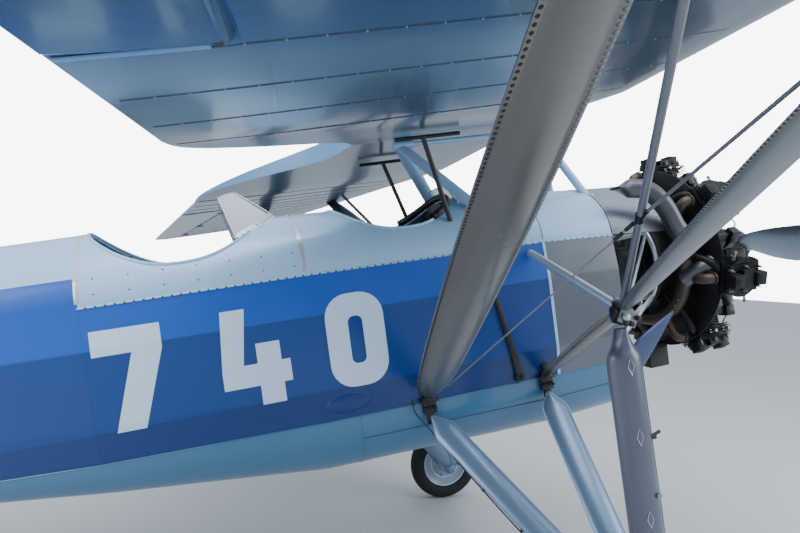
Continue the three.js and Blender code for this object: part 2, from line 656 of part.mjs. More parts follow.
function tyre(side) {
  const middle = (TYRE_RADIUS + WHEEL.rimRadius) / 2;
  const half = (TYRE_RADIUS - WHEEL.rimRadius) / 2;
  const profile = Array.from({ length: 8 }, (_, i) => {
    const angle = THREE.MathUtils.degToRad(-140 + (280 * i) / 7);
    return [middle + half * Math.cos(angle), WHEEL.tyreHalf * Math.sin(angle)];
  });
  return wheelRing([...profile, profile[0]], side, 24);
}

function rim(side) {
  const r = WHEEL.rimRadius + 10;
  const half = WHEEL.hubHalf;
  const profile = [[WHEEL.bore, -half], [44, -half], [r - 20, -14], [r - 12, -30], [r, -30],
    [r, 30], [r - 12, 30], [r - 20, 14], [44, half], [WHEEL.bore, half], [WHEEL.bore, -half]];
  return wheelRing(profile, side);
}

// Engine
const MOUNT_RING = { x: 816, depth: 26, inner: 250, outer: 284 };

// Profile points given from a fore-and-aft place, put into the datum frame
function profileFrom(x, profile) {
  return profile.map(([ahead, r]) => [x + ahead, r]);
}

function onBearing(angle, radius, x) {
  return new THREE.Vector3(x, radius * Math.sin(angle), THRUST_LINE_Z + radius * Math.cos(angle));
}

const cylinderBearings = Array.from({ length: ENGINE.cylinders }, (_, i) => (2 * Math.PI * i) / ENGINE.cylinders);

// Height and radius of the square-edged fins of a barrel or head between two heights
function finStack(low, high, count, rootRadius, finRadius) {
  const pitch = (high - low - ENGINE.finThickness) / (count - 1);
  return Array.from({ length: count }, (_, i) => {
    const foot = low + pitch * i;
    const top = foot + ENGINE.finThickness;
    return [[foot, rootRadius], [foot, finRadius], [top, finRadius], [top, rootRadius]];
  }).flat();
}

function radialEngine() {
  const flange = { ahead: MOUNT_RING.x + SEAT_GAP - ENGINE.x, depth: 14, radius: 280 };
  const crankcase = turnedAboutThrustLine(profileFrom(ENGINE.x, [
    [-488, 0], [-488, 135], [-308, 150], [flange.ahead, 170], [flange.ahead, flange.radius],
    [flange.ahead + flange.depth, flange.radius], [-272, 236], [-108, ENGINE.caseRadius], [112, ENGINE.caseRadius],
    [182, 190], [312, 110], [372, 90], [372, PROPELLER.shaftRadius], [528, PROPELLER.shaftRadius], [528, 0],
  ]), PROPELLER.shaftSides);
  const profile = [
    [200, 0], [200, 66], ...finStack(256, 440, ENGINE.barrelFins, 72, 88),
    ...finStack(448, 505, ENGINE.headFins, 84, 100), [505, 0],
  ];
  const pieces = cylinderBearings.map((angle) => {
    const barrel = new THREE.LatheGeometry(profile.map(([r, w]) => new THREE.Vector2(w, r)), 10);
    barrel.rotateX(Math.PI / 2);
    const covers = [-66, 66].map((shift) => new THREE.BoxGeometry(104, 84, 60).translate(shift, 0, 514));
    const port = new THREE.CylinderGeometry(30, 30, 60, 8).rotateZ(Math.PI / 2).translate(-108, 0, 462);
    const place = new THREE.Matrix4().makeRotationX(-angle).setPosition(ENGINE.x, 0, THRUST_LINE_Z);
    return join(...[barrel, ...covers, port].map((piece) => solid(piece.applyMatrix4(place))));
  });
  return join(crankcase, ...pieces);
}

function exhaust() {
  const ringX = 927;
  const ringRadius = 330;
  const tube = 34;
  const circle = Array.from({ length: 6 }, (_, i) => {
    const angle = (2 * Math.PI * i) / 6;
    return [ringX + tube * Math.sin(angle), ringRadius + tube * Math.cos(angle)];
  });
  const ring = turnedAboutThrustLine([...circle, circle[0]], 18);
  const stubEnd = ENGINE.x - 138 - SEAT_GAP;
  const stubs = cylinderBearings.flatMap((angle) => [
    rod(onBearing(angle, 462, stubEnd), onBearing(angle, 462, ringX - 20), 27, 6),
    rod(onBearing(angle, 488, ringX), onBearing(angle, ringRadius, ringX), 27, 6),
  ]);
  const stack = pipe(
    [
      [927, -326, 1362], [886, -396, 1392], [866, -420, 1430], [809, -424, 1510], [770, -420, 1597],
      [725, -406, 1667], [679, -388, 1705], [608, -370, 1719],
    ],
    46, 8, 12,
  );
  const tail = [
    { x: 640, y: -377, z: 1713, wide: 44, tall: 44 }, { x: 608, y: -370, z: 1719, wide: 46, tall: 44 },
    { x: 540, y: -360, z: 1727, wide: 56, tall: 9 },
  ];
  const fishtail = loft(tail.map(({ x, y, z, wide, tall }) => Array.from({ length: 10 }, (_, i) => {
    const angle = (2 * Math.PI * i) / 10;
    return [x, y + wide * Math.cos(angle), z + tall * Math.sin(angle)];
  })));
  return join(ring, ...stubs, stack, fishtail);
}

function engineMount() {
  const { x, depth, inner, outer } = MOUNT_RING;
  const section = [[x - depth, inner], [x, inner], [x, outer], [x - depth, outer], [x - depth, inner]];
  const ring = turnedAboutThrustLine(section, 16);
  const corners = [[300, 1480], [300, 975], [-300, 975], [-300, 1480]];
  const bearings = [52, 128, 232, 308].map((deg) => THREE.MathUtils.degToRad(deg));
  const feet = corners.map(([y, z]) => new THREE.Vector3(FIREWALL_X - 20, y, z));
  const heads = bearings.map((angle) => onBearing(angle, (inner + outer) / 2, x - depth / 2));
  const tubes = feet.flatMap((foot, i) => [rod(foot, heads[i], 13, 8), rod(foot, heads[(i + 1) % 4], 10, 6)]);
  return cut(join(ring, ...tubes), TRIM);
}

function propeller() {
  const hubProfile = [[-84, 0], [-84, 70], [-50, 92], [30, 92], [50, 60], [110, 36], [110, 0]];
  const hub = turnedAboutThrustLine(profileFrom(PROPELLER.x, hubProfile), 14);
  const bladeRows = [
    { r: 60, width: 90, thick: 70, pitch: 70 }, { r: 200, width: 130, thick: 48, pitch: 52 },
    { r: 420, width: 178, thick: 34, pitch: 38 }, { r: 750, width: 192, thick: 22, pitch: 27 },
    { r: 1080, width: 160, thick: 14, pitch: 20 }, { r: 1210, width: 100, thick: 9, pitch: 18 },
    { r: PROPELLER.radius, width: 40, thick: 6, pitch: 17 },
  ];
  const blade = (side) => loft(bladeRows.map(({ r, width, thick, pitch }) => {
    const turn = THREE.MathUtils.degToRad(pitch);
    return [[-0.5, 0], [-0.2, 0.5], [0.2, 0.5], [0.5, 0], [0.2, -0.3], [-0.2, -0.3]].map(([u, v]) => {
      const along = u * width;
      const up = v * thick;
      const forward = along * Math.sin(turn) + up * Math.cos(turn);
      const high = along * Math.cos(turn) - up * Math.sin(turn);
      return [PROPELLER.x + forward, side * r, THRUST_LINE_Z + side * high];
    });
  }), [0, 2]);
  const bored = boreRadius(PROPELLER.shaftRadius, PROPELLER.shaftSides);
  const boreProfile = [[-150, 0], [-150, bored], [72, bored], [72, 0]];
  const bore = turnedAboutThrustLine(profileFrom(PROPELLER.x, boreProfile), PROPELLER.shaftSides);
  return cut(join(hub, blade(1), blade(-1)), bore);
}

// Tail
const TAIL = { planeZ: 1598, hingeX: -4700, thick: 62 };

function tailSection(y, leading, trailing, tall) {
  const lens = [[0, 0], [0.12, 0.4], [0.45, 0.5], [1, 0.32], [1, -0.32], [0.45, -0.5], [0.12, -0.4]];
  return lens.map(([part, height]) => [
    leading + (trailing - leading) * part, y, TAIL.planeZ + tall * height,
  ]);
}

function tailplane() {
  const half = [[0, -4030], [1450, -4210], [1700, -4330], [1800, -4470]];
  const rows = [...half.slice(1).reverse().map(([y, leading]) => [-y, leading]), ...half];
  const rear = TAIL.hingeX + 26;
  return loft(rows.map(([y, leading]) => tailSection(y, leading, rear, TAIL.thick)), [0, 2]);
}

// The elevator's hinge line from near the rudder out to the tip
const elevatorHinge = (side) => [66, 1795].map((y) => new THREE.Vector3(TAIL.hingeX, y * side, TAIL.planeZ));

function elevatorShape(side) {
  const outline = [[TAIL.hingeX, 66], [TAIL.hingeX, 1795], [-4800, 1790], [-4960, 1700], [-5060, 1500], [-5100, 1200],
    [-5110, 420], [-5080, 280]];
  const flat = outline.map(([x, y]) => [x, y * side]);
  const body = plate(flat, 40, new THREE.Matrix4().makeTranslation(0, 0, TAIL.planeZ - 20));
  const edge = rod(...elevatorHinge(side), 20, 12);
  const taper = [[TAIL.hingeX + 30, 20.5], [TAIL.hingeX + 30, -20.5], [-5120, -4], [-5120, 4]];
  const wedge = loft([50, 1850].map((y) => taper.map(([x, z]) => [x, y * side, TAIL.planeZ + z])), [0, 2]);
  return join(body.intersect(wedge), edge);
}

function elevatorAndPlane() {
  const plane = tailplane();
  const sets = [-1, 1].map((side) => hingeSet(...elevatorHinge(side), [0.12, 0.85], { pin: 5 }));
  const [starboard, port] = [-1, 1].map((side, i) => cut(elevatorShape(side), ...sets[i].female));
  return { plane: join(plane, ...sets.flatMap((set) => set.male)), starboard, port };
}

const FIN = { rootZ: 1598, topZ: 2190, half: 24 };

function uprightPlate(outline, half) {
  const place = new THREE.Matrix4().makeBasis(
    new THREE.Vector3(1, 0, 0), new THREE.Vector3(0, 0, 1), new THREE.Vector3(0, -1, 0),
  ).setPosition(0, half, 0);
  return plate(outline, half * 2, place);
}

const RUDDER_AXIS_X = STERNPOST_X - 34;

function finAndRudder(plane) {
  const finRear = RUDDER_AXIS_X + 28;
  const finOutline = [
    [-4080, FIN.rootZ], [-4100, 1640], [-4300, 1800], [-4480, 2010], [-4570, 2110], [-4660, FIN.topZ - 20],
    [finRear, FIN.topZ], [finRear, FIN.rootZ],
  ];
  const rudderOutline = [
    [RUDDER_AXIS_X, 1150], [-4900, 1112], [-5120, 1140], [-5270, 1260], [-5340, 1450], [-5350, 1720],
    [-5300, 1960], [-5190, 2130], [-5020, 2230], [-4860, 2240], [RUDDER_AXIS_X, 2205],
  ];
  const from = new THREE.Vector3(RUDDER_AXIS_X, 0, 1150);
  const to = new THREE.Vector3(RUDDER_AXIS_X, 0, 2200);
  const hinges = hingeSet(from, to, [0.14, 0.55, 0.9], { pinLength: 50 });
  const taper = [[RUDDER_AXIS_X + 30, 22], [RUDDER_AXIS_X + 30, -22], [-5360, -4], [-5360, 4]];
  const wedge = loft([1050, 2300].map((z) => taper.map(([x, y]) => [x, y, z])), [0, 1]);
  const rudder = cut(join(uprightPlate(rudderOutline, 26).intersect(wedge), rod(from, to, 22, 12)), ...hinges.female);
  const fin = join(cut(uprightPlate(finOutline, FIN.half), TRIM, plane), hinges.male[1], hinges.male[2]);
  return { fin, rudder, lowHinge: hinges.male[0] };
}

function tailBrace(side) {
  const from = new THREE.Vector3(-4420, 60 * side, 1215);
  const to = new THREE.Vector3(-4420, 960 * side, 1590);
  return rod(from, to, 14, 10);
}

function tailSkid() {
  const leaf = pipe([[-4330, 0, 1150], [-4480, 0, 1010], [-4640, 0, 830], [-4780, 0, 690]], 22, 8, 10);
  const leg = rod(new THREE.Vector3(-4640, 0, 1200), new THREE.Vector3(-4640, 0, 835), 16, 10);
  return join(leaf, leg);
}

// Where the level ground plane lies in the datum frame, for the skid's shoe
function groundZ(x) {
  return -(TYRE_RADIUS + x * Math.sin(PARKED_PITCH)) / Math.cos(PARKED_PITCH);
}

function skidShoe() {
  const half = 45;
  const loops = [-half, half].map((y) =>
    [[-4880, 0], [-4720, 0], [-4690, 40], [-4760, 62], [-4870, 42]].map(([x, up]) => [x, y, groundZ(x) + up]));
  return loft(loops, [0, 2]);
}

// Assembly: one mesh for each piece, in the datum frame
const airframe = new THREE.Group();

const FINISHES = {
  blue: { color: 0x2b66b0, roughness: 0.35, metalness: 0.1 },
  paleBlue: { color: 0x8fb4cf, roughness: 0.4, metalness: 0.1 },
  silverBlue: { color: 0xa9c2dc, roughness: 0.35, metalness: 0.3 },
  bareMetal: { color: 0x9aa3ad, roughness: 0.4, metalness: 0.8 },
  wingCloth: { color: 0x7f93ab, roughness: 0.3, metalness: 0.2 },
  darkMetal: { color: 0x1c1d20, roughness: 0.6, metalness: 0.6 },
  burntPipe: { color: 0x6f6a67, roughness: 0.6, metalness: 0.6 },
  rubber: { color: 0x17181a, roughness: 0.85, metalness: 0 },
  leather: { color: 0x2a211c, roughness: 0.6, metalness: 0 },
  glass: { color: 0xdfe9ee, roughness: 0.1, metalness: 0, transparent: true, opacity: 0.35 },
};

function place(name, shape, finish) {
  const mesh = new THREE.Mesh(geometryOf(shape), new THREE.MeshStandardMaterial(FINISHES[finish]));
  mesh.name = name;
  airframe.add(mesh);
}

const FUSELAGE_FINISH = {
  cockpit_tub: "blue", rear_fuselage: "blue", tank_bay: "bareMetal", belly_front: "paleBlue", belly_rear: "paleBlue",
};
const { wing, aileron } = wingAndAileron();
const { plane, starboard: elevatorStarboard, port: elevatorPort } = elevatorAndPlane();
const trimmedPlane = cut(plane, TRIM);
const { fin, rudder, lowHinge } = finAndRudder(plane.translate([0, 0, 1.5 * SEAT_GAP]));

for (const [name, make] of Object.entries(FUSELAGE_NODES)) {
  const shape = name === "rear_fuselage" ? join(make(), lowHinge) : make();
  place(name, shape, FUSELAGE_FINISH[name] ?? "silverBlue");
}
for (const cockpit of [FRONT_COCKPIT, REAR_COCKPIT]) {
  place(`seat_${cockpit.name}`, seat(cockpit), "bareMetal");
  place(`cushion_${cockpit.name}`, cushion(cockpit), "leather");
  place(`instrument_panel_${cockpit.name}`, instrumentPanel(cockpit), "darkMetal");
  place(`windscreen_${cockpit.name}`, windscreen(cockpit), "glass");
}
place("coaming_front", coaming(FRONT_COCKPIT), "leather");
for (const [name, side] of [["starboard", -1], ["port", 1]]) {
  const onSide = (shape) => (side < 0 ? mirroredSolid(shape) : shape);
  const wingHere = onSide(wing);
  const clearWing = wingHere.translate([0, 0, -SEAT_GAP]);
  place(`wing_${name}`, wingHere, "wingCloth");
  place(`aileron_${name}`, onSide(aileron), "wingCloth");
  place(`wing_strut_front_${name}`, frontWingStrut(side, clearWing), "bareMetal");
  place(`wing_strut_rear_${name}`, cut(rearWingStrut(side, clearWing), TRIM), "bareMetal");
  place(`pyramid_${name}`, cut(pyramid(side), TRIM, clearWing), "bareMetal");
  place(`gear_legs_${name}`, cut(gearVee(side), TRIM), "silverBlue");
  place(`shock_leg_${name}`, shockLeg(side), "bareMetal");
  place(`tyre_${name}`, tyre(side), "rubber");
  place(`rim_${name}`, rim(side), "silverBlue");
  place(`aileron_rod_${name}`, cut(aileronRod(side), TRIM, clearWing), "darkMetal");
  place(`tail_brace_${name}`, cut(tailBrace(side), TRIM, trimmedPlane.translate([0, 0, -SEAT_GAP])), "silverBlue");
}
const bothWings = join(wing, mirroredSolid(wing)).translate([0, 0, -SEAT_GAP]);
place("cabane_front", cut(frontCabane(), TRIM, NOSE_TRIM, bothWings), "silverBlue");
place("cabane_rear", cut(rearCabane(), TRIM, bothWings), "bareMetal");
place("radial_engine", radialEngine(), "darkMetal");
place("exhaust", exhaust(), "burntPipe");
place("engine_mount", engineMount(), "silverBlue");
place("propeller", propeller(), "bareMetal");
place("tailplane", trimmedPlane, "paleBlue");
place("elevator_starboard", elevatorStarboard, "paleBlue");
place("elevator_port", elevatorPort, "paleBlue");
place("fin", fin, "blue");
place("rudder", rudder, "blue");
place("tail_skid", join(cut(tailSkid(), TRIM), skidShoe()), "darkMetal");

airframe.rotation.y = -PARKED_PITCH;
airframe.position.set(MIDSHIP_SHIFT, 0, TYRE_RADIUS);

const aircraft = new THREE.Group();
aircraft.add(airframe);

export default aircraft;
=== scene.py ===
"""Looks of a two-seat parasol monoplane with a seven-cylinder radial engine, parked tail-down.

Metres throughout. Pieces are drawn in the airframe's own level datum (x forward from the wheel axles,
y to port, z up from the axles) and then turned nose-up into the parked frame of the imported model.
"""

import json
import logging
import math
from collections.abc import Callable, Iterable, Sequence
from dataclasses import dataclass, field
from enum import Enum

import bmesh
import bpy
from mathutils import Matrix, Vector
from mathutils.geometry import tessellate_polygon

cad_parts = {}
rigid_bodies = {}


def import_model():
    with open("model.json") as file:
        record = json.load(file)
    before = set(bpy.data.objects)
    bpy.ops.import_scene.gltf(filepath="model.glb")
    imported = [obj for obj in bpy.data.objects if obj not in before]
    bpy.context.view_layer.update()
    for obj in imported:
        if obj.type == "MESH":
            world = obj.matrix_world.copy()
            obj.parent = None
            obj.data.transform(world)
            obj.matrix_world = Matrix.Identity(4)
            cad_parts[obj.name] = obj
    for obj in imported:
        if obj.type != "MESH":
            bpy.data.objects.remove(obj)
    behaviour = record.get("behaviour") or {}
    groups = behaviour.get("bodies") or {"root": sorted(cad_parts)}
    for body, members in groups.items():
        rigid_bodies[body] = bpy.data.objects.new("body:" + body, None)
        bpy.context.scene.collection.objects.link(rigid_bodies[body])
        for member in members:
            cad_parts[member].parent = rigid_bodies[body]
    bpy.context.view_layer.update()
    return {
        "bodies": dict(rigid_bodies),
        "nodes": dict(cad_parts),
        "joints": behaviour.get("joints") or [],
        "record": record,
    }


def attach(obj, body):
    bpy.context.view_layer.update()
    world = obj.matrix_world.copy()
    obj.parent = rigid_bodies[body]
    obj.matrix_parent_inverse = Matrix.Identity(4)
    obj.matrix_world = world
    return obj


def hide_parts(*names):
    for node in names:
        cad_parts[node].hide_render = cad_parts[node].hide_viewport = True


LOG = logging.getLogger("monoplane")
AIRFRAME = "airframe"
Ring = list[Vector]


class Side(Enum):
    """The two sides of the aircraft, with the sign of y on each."""

    STARBOARD = -1
    PORT = 1

    @property
    def word(self) -> str:
        """The side's name as the nodes spell it."""
        return self.name.lower()


def srgb(red: int, green: int, blue: int) -> tuple[float, float, float, float]:
    """Turns a colour as seen, 0 to 255, into scene-linear values.

    Args:
        red: Red as seen.
        green: Green as seen.
        blue: Blue as seen.

    Returns:
        Linear red, green and blue, with an alpha of one.
    """
    linear = [(c / 255 / 12.92) if c <= 10 else (((c / 255) + 0.055) / 1.055) ** 2.4 for c in (red, green, blue)]
    return (linear[0], linear[1], linear[2], 1.0)


def mix(a: float, b: float, t: float) -> float:
    """Returns the value a share t of the way from a to b."""
    return a + (b - a) * t


# Datum and meshes


@dataclass(frozen=True)
class Datum:
    """The level airframe axes, turned nose-up about the wheel axles."""

    axle: Vector
    pitch: float

    @property
    def matrix(self) -> Matrix:
        """The turn and shift from datum to parked frame."""
        return Matrix.Translation(self.axle) @ Matrix.Rotation(-self.pitch, 4, "Y")

    @classmethod
    def of_frame(cls, frame: dict) -> "Datum":
        """Reads the axle's place and the thrust line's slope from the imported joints.

        Args:
            frame: What the frame's load call returned.

        Returns:
            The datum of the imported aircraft.
        """
        joints = {joint["name"]: joint for joint in frame["joints"]}
        wheel = joints["wheel_port_spin"]["pos_m"]
        thrust = joints["propeller_spin"]["axis"]
        return cls(Vector((wheel[0], 0, wheel[2])), math.atan2(thrust[2], thrust[0]))


class Surface:
    """Faces gathered in datum metres before they become one mesh."""

    def __init__(self) -> None:
        """Starts with no points and no faces."""
        self.points: list[Vector] = []
        self.faces: list[tuple[int, ...]] = []

    def loft(self, rings: Sequence[Ring], closed: bool = True, caps: bool = True) -> "Surface":
        """Skins rings of equal length with quads.

        Args:
            rings: The cross-sections in order.
            closed: Whether each ring joins its end to its start.
            caps: Whether the first and last rings get an end face.

        Returns:
            This surface, so that calls can be chained.
        """
        base = len(self.points)
        count = len(rings[0])
        for ring in rings:
            self.points.extend(Vector(p) for p in ring)
        steps = count if closed else count - 1
        for row in range(len(rings) - 1):
            for i in range(steps):
                a = base + row * count + i
                b = base + row * count + (i + 1) % count
                self.faces.append((a, b, b + count, a + count))
        if caps:
            self.faces.append(tuple(base + i for i in range(count)))
            self.faces.append(tuple(base + (len(rings) - 1) * count + i for i in range(count)))
        return self

    def tube(self, path: Sequence[Vector], radius: float | Sequence[float], sides: int = 12) -> "Surface":
        """Sweeps a round section along a path without twisting it.

        Args:
            path: Points along the middle of the tube.
            radius: One radius, or one for each point.
            sides: How many sides the section has.

        Returns:
            This surface.
        """
        points = [Vector(p) for p in path]
        radii = [radius] * len(points) if isinstance(radius, (int, float)) else list(radius)
        tangents = []
        for i in range(len(points)):
            ahead = points[min(i + 1, len(points) - 1)] - points[max(i - 1, 0)]
            tangents.append(ahead.normalized())
        across = tangents[0].orthogonal().normalized()
        rings = []
        for point, tangent, r in zip(points, tangents, radii):
            across = (across - tangent * across.dot(tangent)).normalized()
            third = tangent.cross(across)
            turns = (2 * math.pi * k / sides for k in range(sides))
            rings.append([point + (across * math.cos(t) + third * math.sin(t)) * r for t in turns])
        return self.loft(rings)

    def lathe(self, profile: Sequence[tuple[float, float]], origin: Vector, axis: Vector, sides: int = 32) -> "Surface":
        """Turns a profile about an axis.

        Args:
            profile: Distance along the axis and radius, in order; ends on the axis or closes on itself.
            origin: Where distance zero lies.
            axis: The direction of the axis.
            sides: How many sides the turned shape has.

        Returns:
            This surface.
        """
        ahead = Vector(axis).normalized()
        across = ahead.orthogonal().normalized()
        third = ahead.cross(across)
        closes = profile[0] == profile[-1]
        rows = profile[:-1] if closes else profile
        rings = []
        for along, radius in rows:
            turns = (2 * math.pi * k / sides for k in range(sides))
            r = max(radius, 1e-5)
            rings.append([origin + ahead * along + (across * math.cos(t) + third * math.sin(t)) * r for t in turns])
        if closes:
            rings.append(rings[0])
        return self.loft(rings, caps=not closes)

    def slab(self, outline: Sequence[Vector], shift: Vector) -> "Surface":
        """Thickens a flat outline along a shift.

        Args:
            outline: The corners in order.
            shift: From the first face to the second.

        Returns:
            This surface.
        """
        first = [Vector(p) for p in outline]
        return self.loft([first, [p + Vector(shift) for p in first]])

    def open_pipe(self, path: Sequence[Vector], sizes: Sequence[Vector], wall: float, depth: int) -> "Surface":
        """Sweeps an oval pipe whose last end is open.

        Args:
            path: Points along the middle of the pipe.
            sizes: The half-width and half-height at each point.
            wall: The wall's thickness.
            depth: How many path points the hollow reaches back.

        Returns:
            This surface.
        """
        outer, inner = [], []
        for i, (point, size) in enumerate(zip(path, sizes)):
            ahead = (path[min(i + 1, len(path) - 1)] - path[max(i - 1, 0)]).normalized()
            across = (Vector((0, 1, 0)) - ahead * ahead.y).normalized()
            above = ahead.cross(across)
            turns = [2 * math.pi * k / 24 for k in range(24)]
            for rings, less in ((outer, 0), (inner, wall)):
                wide, tall = size.x - less, size.y - less
                rings.append([point + across * math.cos(t) * wide + above * math.sin(t) * tall for t in turns])
        return self.loft([*outer, *reversed(inner[-depth:])])

    def block(self, centre: Vector, size: Sequence[float], turn: Matrix | None = None) -> "Surface":
        """Adds a box, for cutters and small solid fittings.

        Args:
            centre: The middle of the box.
            size: Its three side lengths.
            turn: An optional rotation about the middle.

        Returns:
            This surface.
        """
        half = Vector(size) / 2
        turn = turn or Matrix.Identity(3)
        corners = [(-1, -1), (1, -1), (1, 1), (-1, 1)]
        rings = [[Vector(centre) + turn @ Vector((u * half.x, v * half.y, w * half.z)) for u, v in corners] for w in (-1, 1)]
        return self.loft(rings)

    def mesh(self, name: str, doubles: float = 2e-5) -> bpy.types.Mesh:
        """Makes the Blender mesh, with doubles merged and faces turned outwards.

        Args:
            name: The mesh's name.
            doubles: The distance within which points merge.

        Returns:
            The mesh, still in datum metres.
        """
        mesh = bpy.data.meshes.new(name)
        mesh.from_pydata([tuple(p) for p in self.points], [], self.faces)
        shape = bmesh.new()
        shape.from_mesh(mesh)
        bmesh.ops.remove_doubles(shape, verts=shape.verts, dist=doubles)
        bmesh.ops.recalc_face_normals(shape, faces=shape.faces)
        shape.to_mesh(mesh)
        shape.free()
        return mesh


def arc_path(points: Sequence[Sequence[float]], steps: int = 8) -> list[Vector]:
    """Runs a smooth path through a few points.

    Args:
        points: The points that the path passes.
        steps: How many steps it takes between two of them.

    Returns:
        The points of the smooth path.
    """
    known = [Vector(p) for p in points]
    padded = [known[0] * 2 - known[1], *known, known[-1] * 2 - known[-2]]
    path = []
    for a, b, c, d in zip(padded, padded[1:], padded[2:], padded[3:]):
        for i in range(steps):
            t = i / steps
            path.append(0.5 * ((2 * b) + (c - a) * t + (2 * a - 5 * b + 4 * c - d) * t * t + (3 * b - a - 3 * c + d) * t ** 3))
    return [*path, known[-1]]


# Finishes


class Canvas:
    """A short way to lay and join shader or geometry nodes."""

    def __init__(self, tree: bpy.types.NodeTree) -> None:
        """Wraps a node tree."""
        self.tree = tree

    def node(self, kind: str, inputs: dict | None = None, **settings: object) -> bpy.types.Node:
        """Adds a node, sets its properties and its sockets.

        Args:
            kind: The node's type name.
            inputs: Socket names or numbers, with a value or an output socket for each.
            settings: Properties of the node.

        Returns:
            The node.
        """
        made = self.tree.nodes.new(kind)
        for key, value in settings.items():
            setattr(made, key, value)
        for key, value in (inputs or {}).items():
            if isinstance(value, bpy.types.NodeSocket):
                self.tree.links.new(value, made.inputs[key])
            else:
                made.inputs[key].default_value = value
        return made

    def link(self, source: bpy.types.NodeSocket, target: bpy.types.NodeSocket) -> None:
        """Joins two sockets."""
        self.tree.links.new(source, target)


class SharedEffects:
    """Shader groups that several finishes use, each built once."""

    built: dict[str, bpy.types.NodeTree] = {}

    @classmethod
    def mottle(cls) -> bpy.types.NodeTree:
        """Returns the group that varies a paint's colour and gloss with cloudy and fine grime."""
        if "mottle" in cls.built:
            return cls.built["mottle"]
        tree = bpy.data.node_groups.new("mottled_paint", "ShaderNodeTree")
        face = tree.interface
        for name, kind, value in (
            ("Color", "NodeSocketColor", (0.5, 0.5, 0.5, 1)), ("Grime", "NodeSocketColor", (0.1, 0.09, 0.08, 1)),
            ("Cloud Scale", "NodeSocketFloat", 2.0), ("Cloud Amount", "NodeSocketFloat", 0.08),
            ("Speck Amount", "NodeSocketFloat", 0.05), ("Gloss", "NodeSocketFloat", 0.3), ("Gloss Spread", "NodeSocketFloat", 0.08),
        ):
            face.new_socket(name, in_out="INPUT", socket_type=kind).default_value = value
        face.new_socket("Color", in_out="OUTPUT", socket_type="NodeSocketColor")
        face.new_socket("Roughness", in_out="OUTPUT", socket_type="NodeSocketFloat")
        canvas = Canvas(tree)
        given = canvas.node("NodeGroupInput").outputs
        place = canvas.node("ShaderNodeTexCoord").outputs["Object"]
        cloud = canvas.node("ShaderNodeTexNoise", {"Vector": place, "Scale": given["Cloud Scale"], "Detail": 4.0, "Roughness": 0.6})
        speck = canvas.node("ShaderNodeTexNoise", {"Vector": place, "Scale": 95.0, "Detail": 3.0})
        ramp = canvas.node("ShaderNodeMapRange", {"Value": speck.outputs["Fac"], "From Min": 0.58, "From Max": 0.78})
        specks = canvas.node("ShaderNodeMath", {0: ramp.outputs["Result"], 1: given["Speck Amount"]}, operation="MULTIPLY")
        centred = canvas.node("ShaderNodeMath", {0: cloud.outputs["Fac"], 1: 0.5}, operation="SUBTRACT")
        swing = canvas.node("ShaderNodeMath", {0: centred.outputs[0], 1: given["Cloud Amount"]}, operation="MULTIPLY")
        factor = canvas.node("ShaderNodeMath", {0: swing.outputs[0], 1: 1.0}, operation="ADD")
        tinted = canvas.node("ShaderNodeVectorMath", {0: given["Color"]}, operation="SCALE")
        canvas.link(factor.outputs[0], tinted.inputs["Scale"])
        dirty = canvas.node("ShaderNodeMix", data_type="RGBA")
        canvas.link(specks.outputs[0], dirty.inputs[0])
        canvas.link(tinted.outputs[0], dirty.inputs[6])
        canvas.link(given["Grime"], dirty.inputs[7])
        spread = canvas.node("ShaderNodeMath", {0: centred.outputs[0], 1: given["Gloss Spread"]}, operation="MULTIPLY")
        rough = canvas.node("ShaderNodeMath", {0: spread.outputs[0], 1: given["Gloss"]}, operation="ADD")
        canvas.node("NodeGroupOutput", {"Color": dirty.outputs[2], "Roughness": rough.outputs[0]})
        cls.built["mottle"] = tree
        return tree

    @classmethod
    def ripple(cls) -> bpy.types.NodeTree:
        """Returns the group whose normal makes thin sheet look slightly oil-canned and grained."""
        if "ripple" in cls.built:
            return cls.built["ripple"]
        tree = bpy.data.node_groups.new("rippled_sheet", "ShaderNodeTree")
        face = tree.interface
        for name, value in (("Ripple Scale", 3.0), ("Ripple Depth", 0.002), ("Grain Scale", 300.0), ("Grain Depth", 0.0001)):
            face.new_socket(name, in_out="INPUT", socket_type="NodeSocketFloat").default_value = value
        face.new_socket("Normal", in_out="OUTPUT", socket_type="NodeSocketVector")
        canvas = Canvas(tree)
        given = canvas.node("NodeGroupInput").outputs
        place = canvas.node("ShaderNodeTexCoord").outputs["Object"]
        wave = canvas.node("ShaderNodeTexNoise", {"Vector": place, "Scale": given["Ripple Scale"], "Detail": 1.0})
        grain = canvas.node("ShaderNodeTexNoise", {"Vector": place, "Scale": given["Grain Scale"], "Detail": 2.0})
        broad = canvas.node("ShaderNodeBump", {"Strength": 1.0, "Distance": given["Ripple Depth"], "Height": wave.outputs["Fac"]})
        fine = canvas.node("ShaderNodeBump", {
            "Strength": 1.0, "Distance": given["Grain Depth"], "Height": grain.outputs["Fac"], "Normal": broad.outputs["Normal"]})
        canvas.node("NodeGroupOutput", {"Normal": fine.outputs["Normal"]})
        cls.built["ripple"] = tree
        return tree


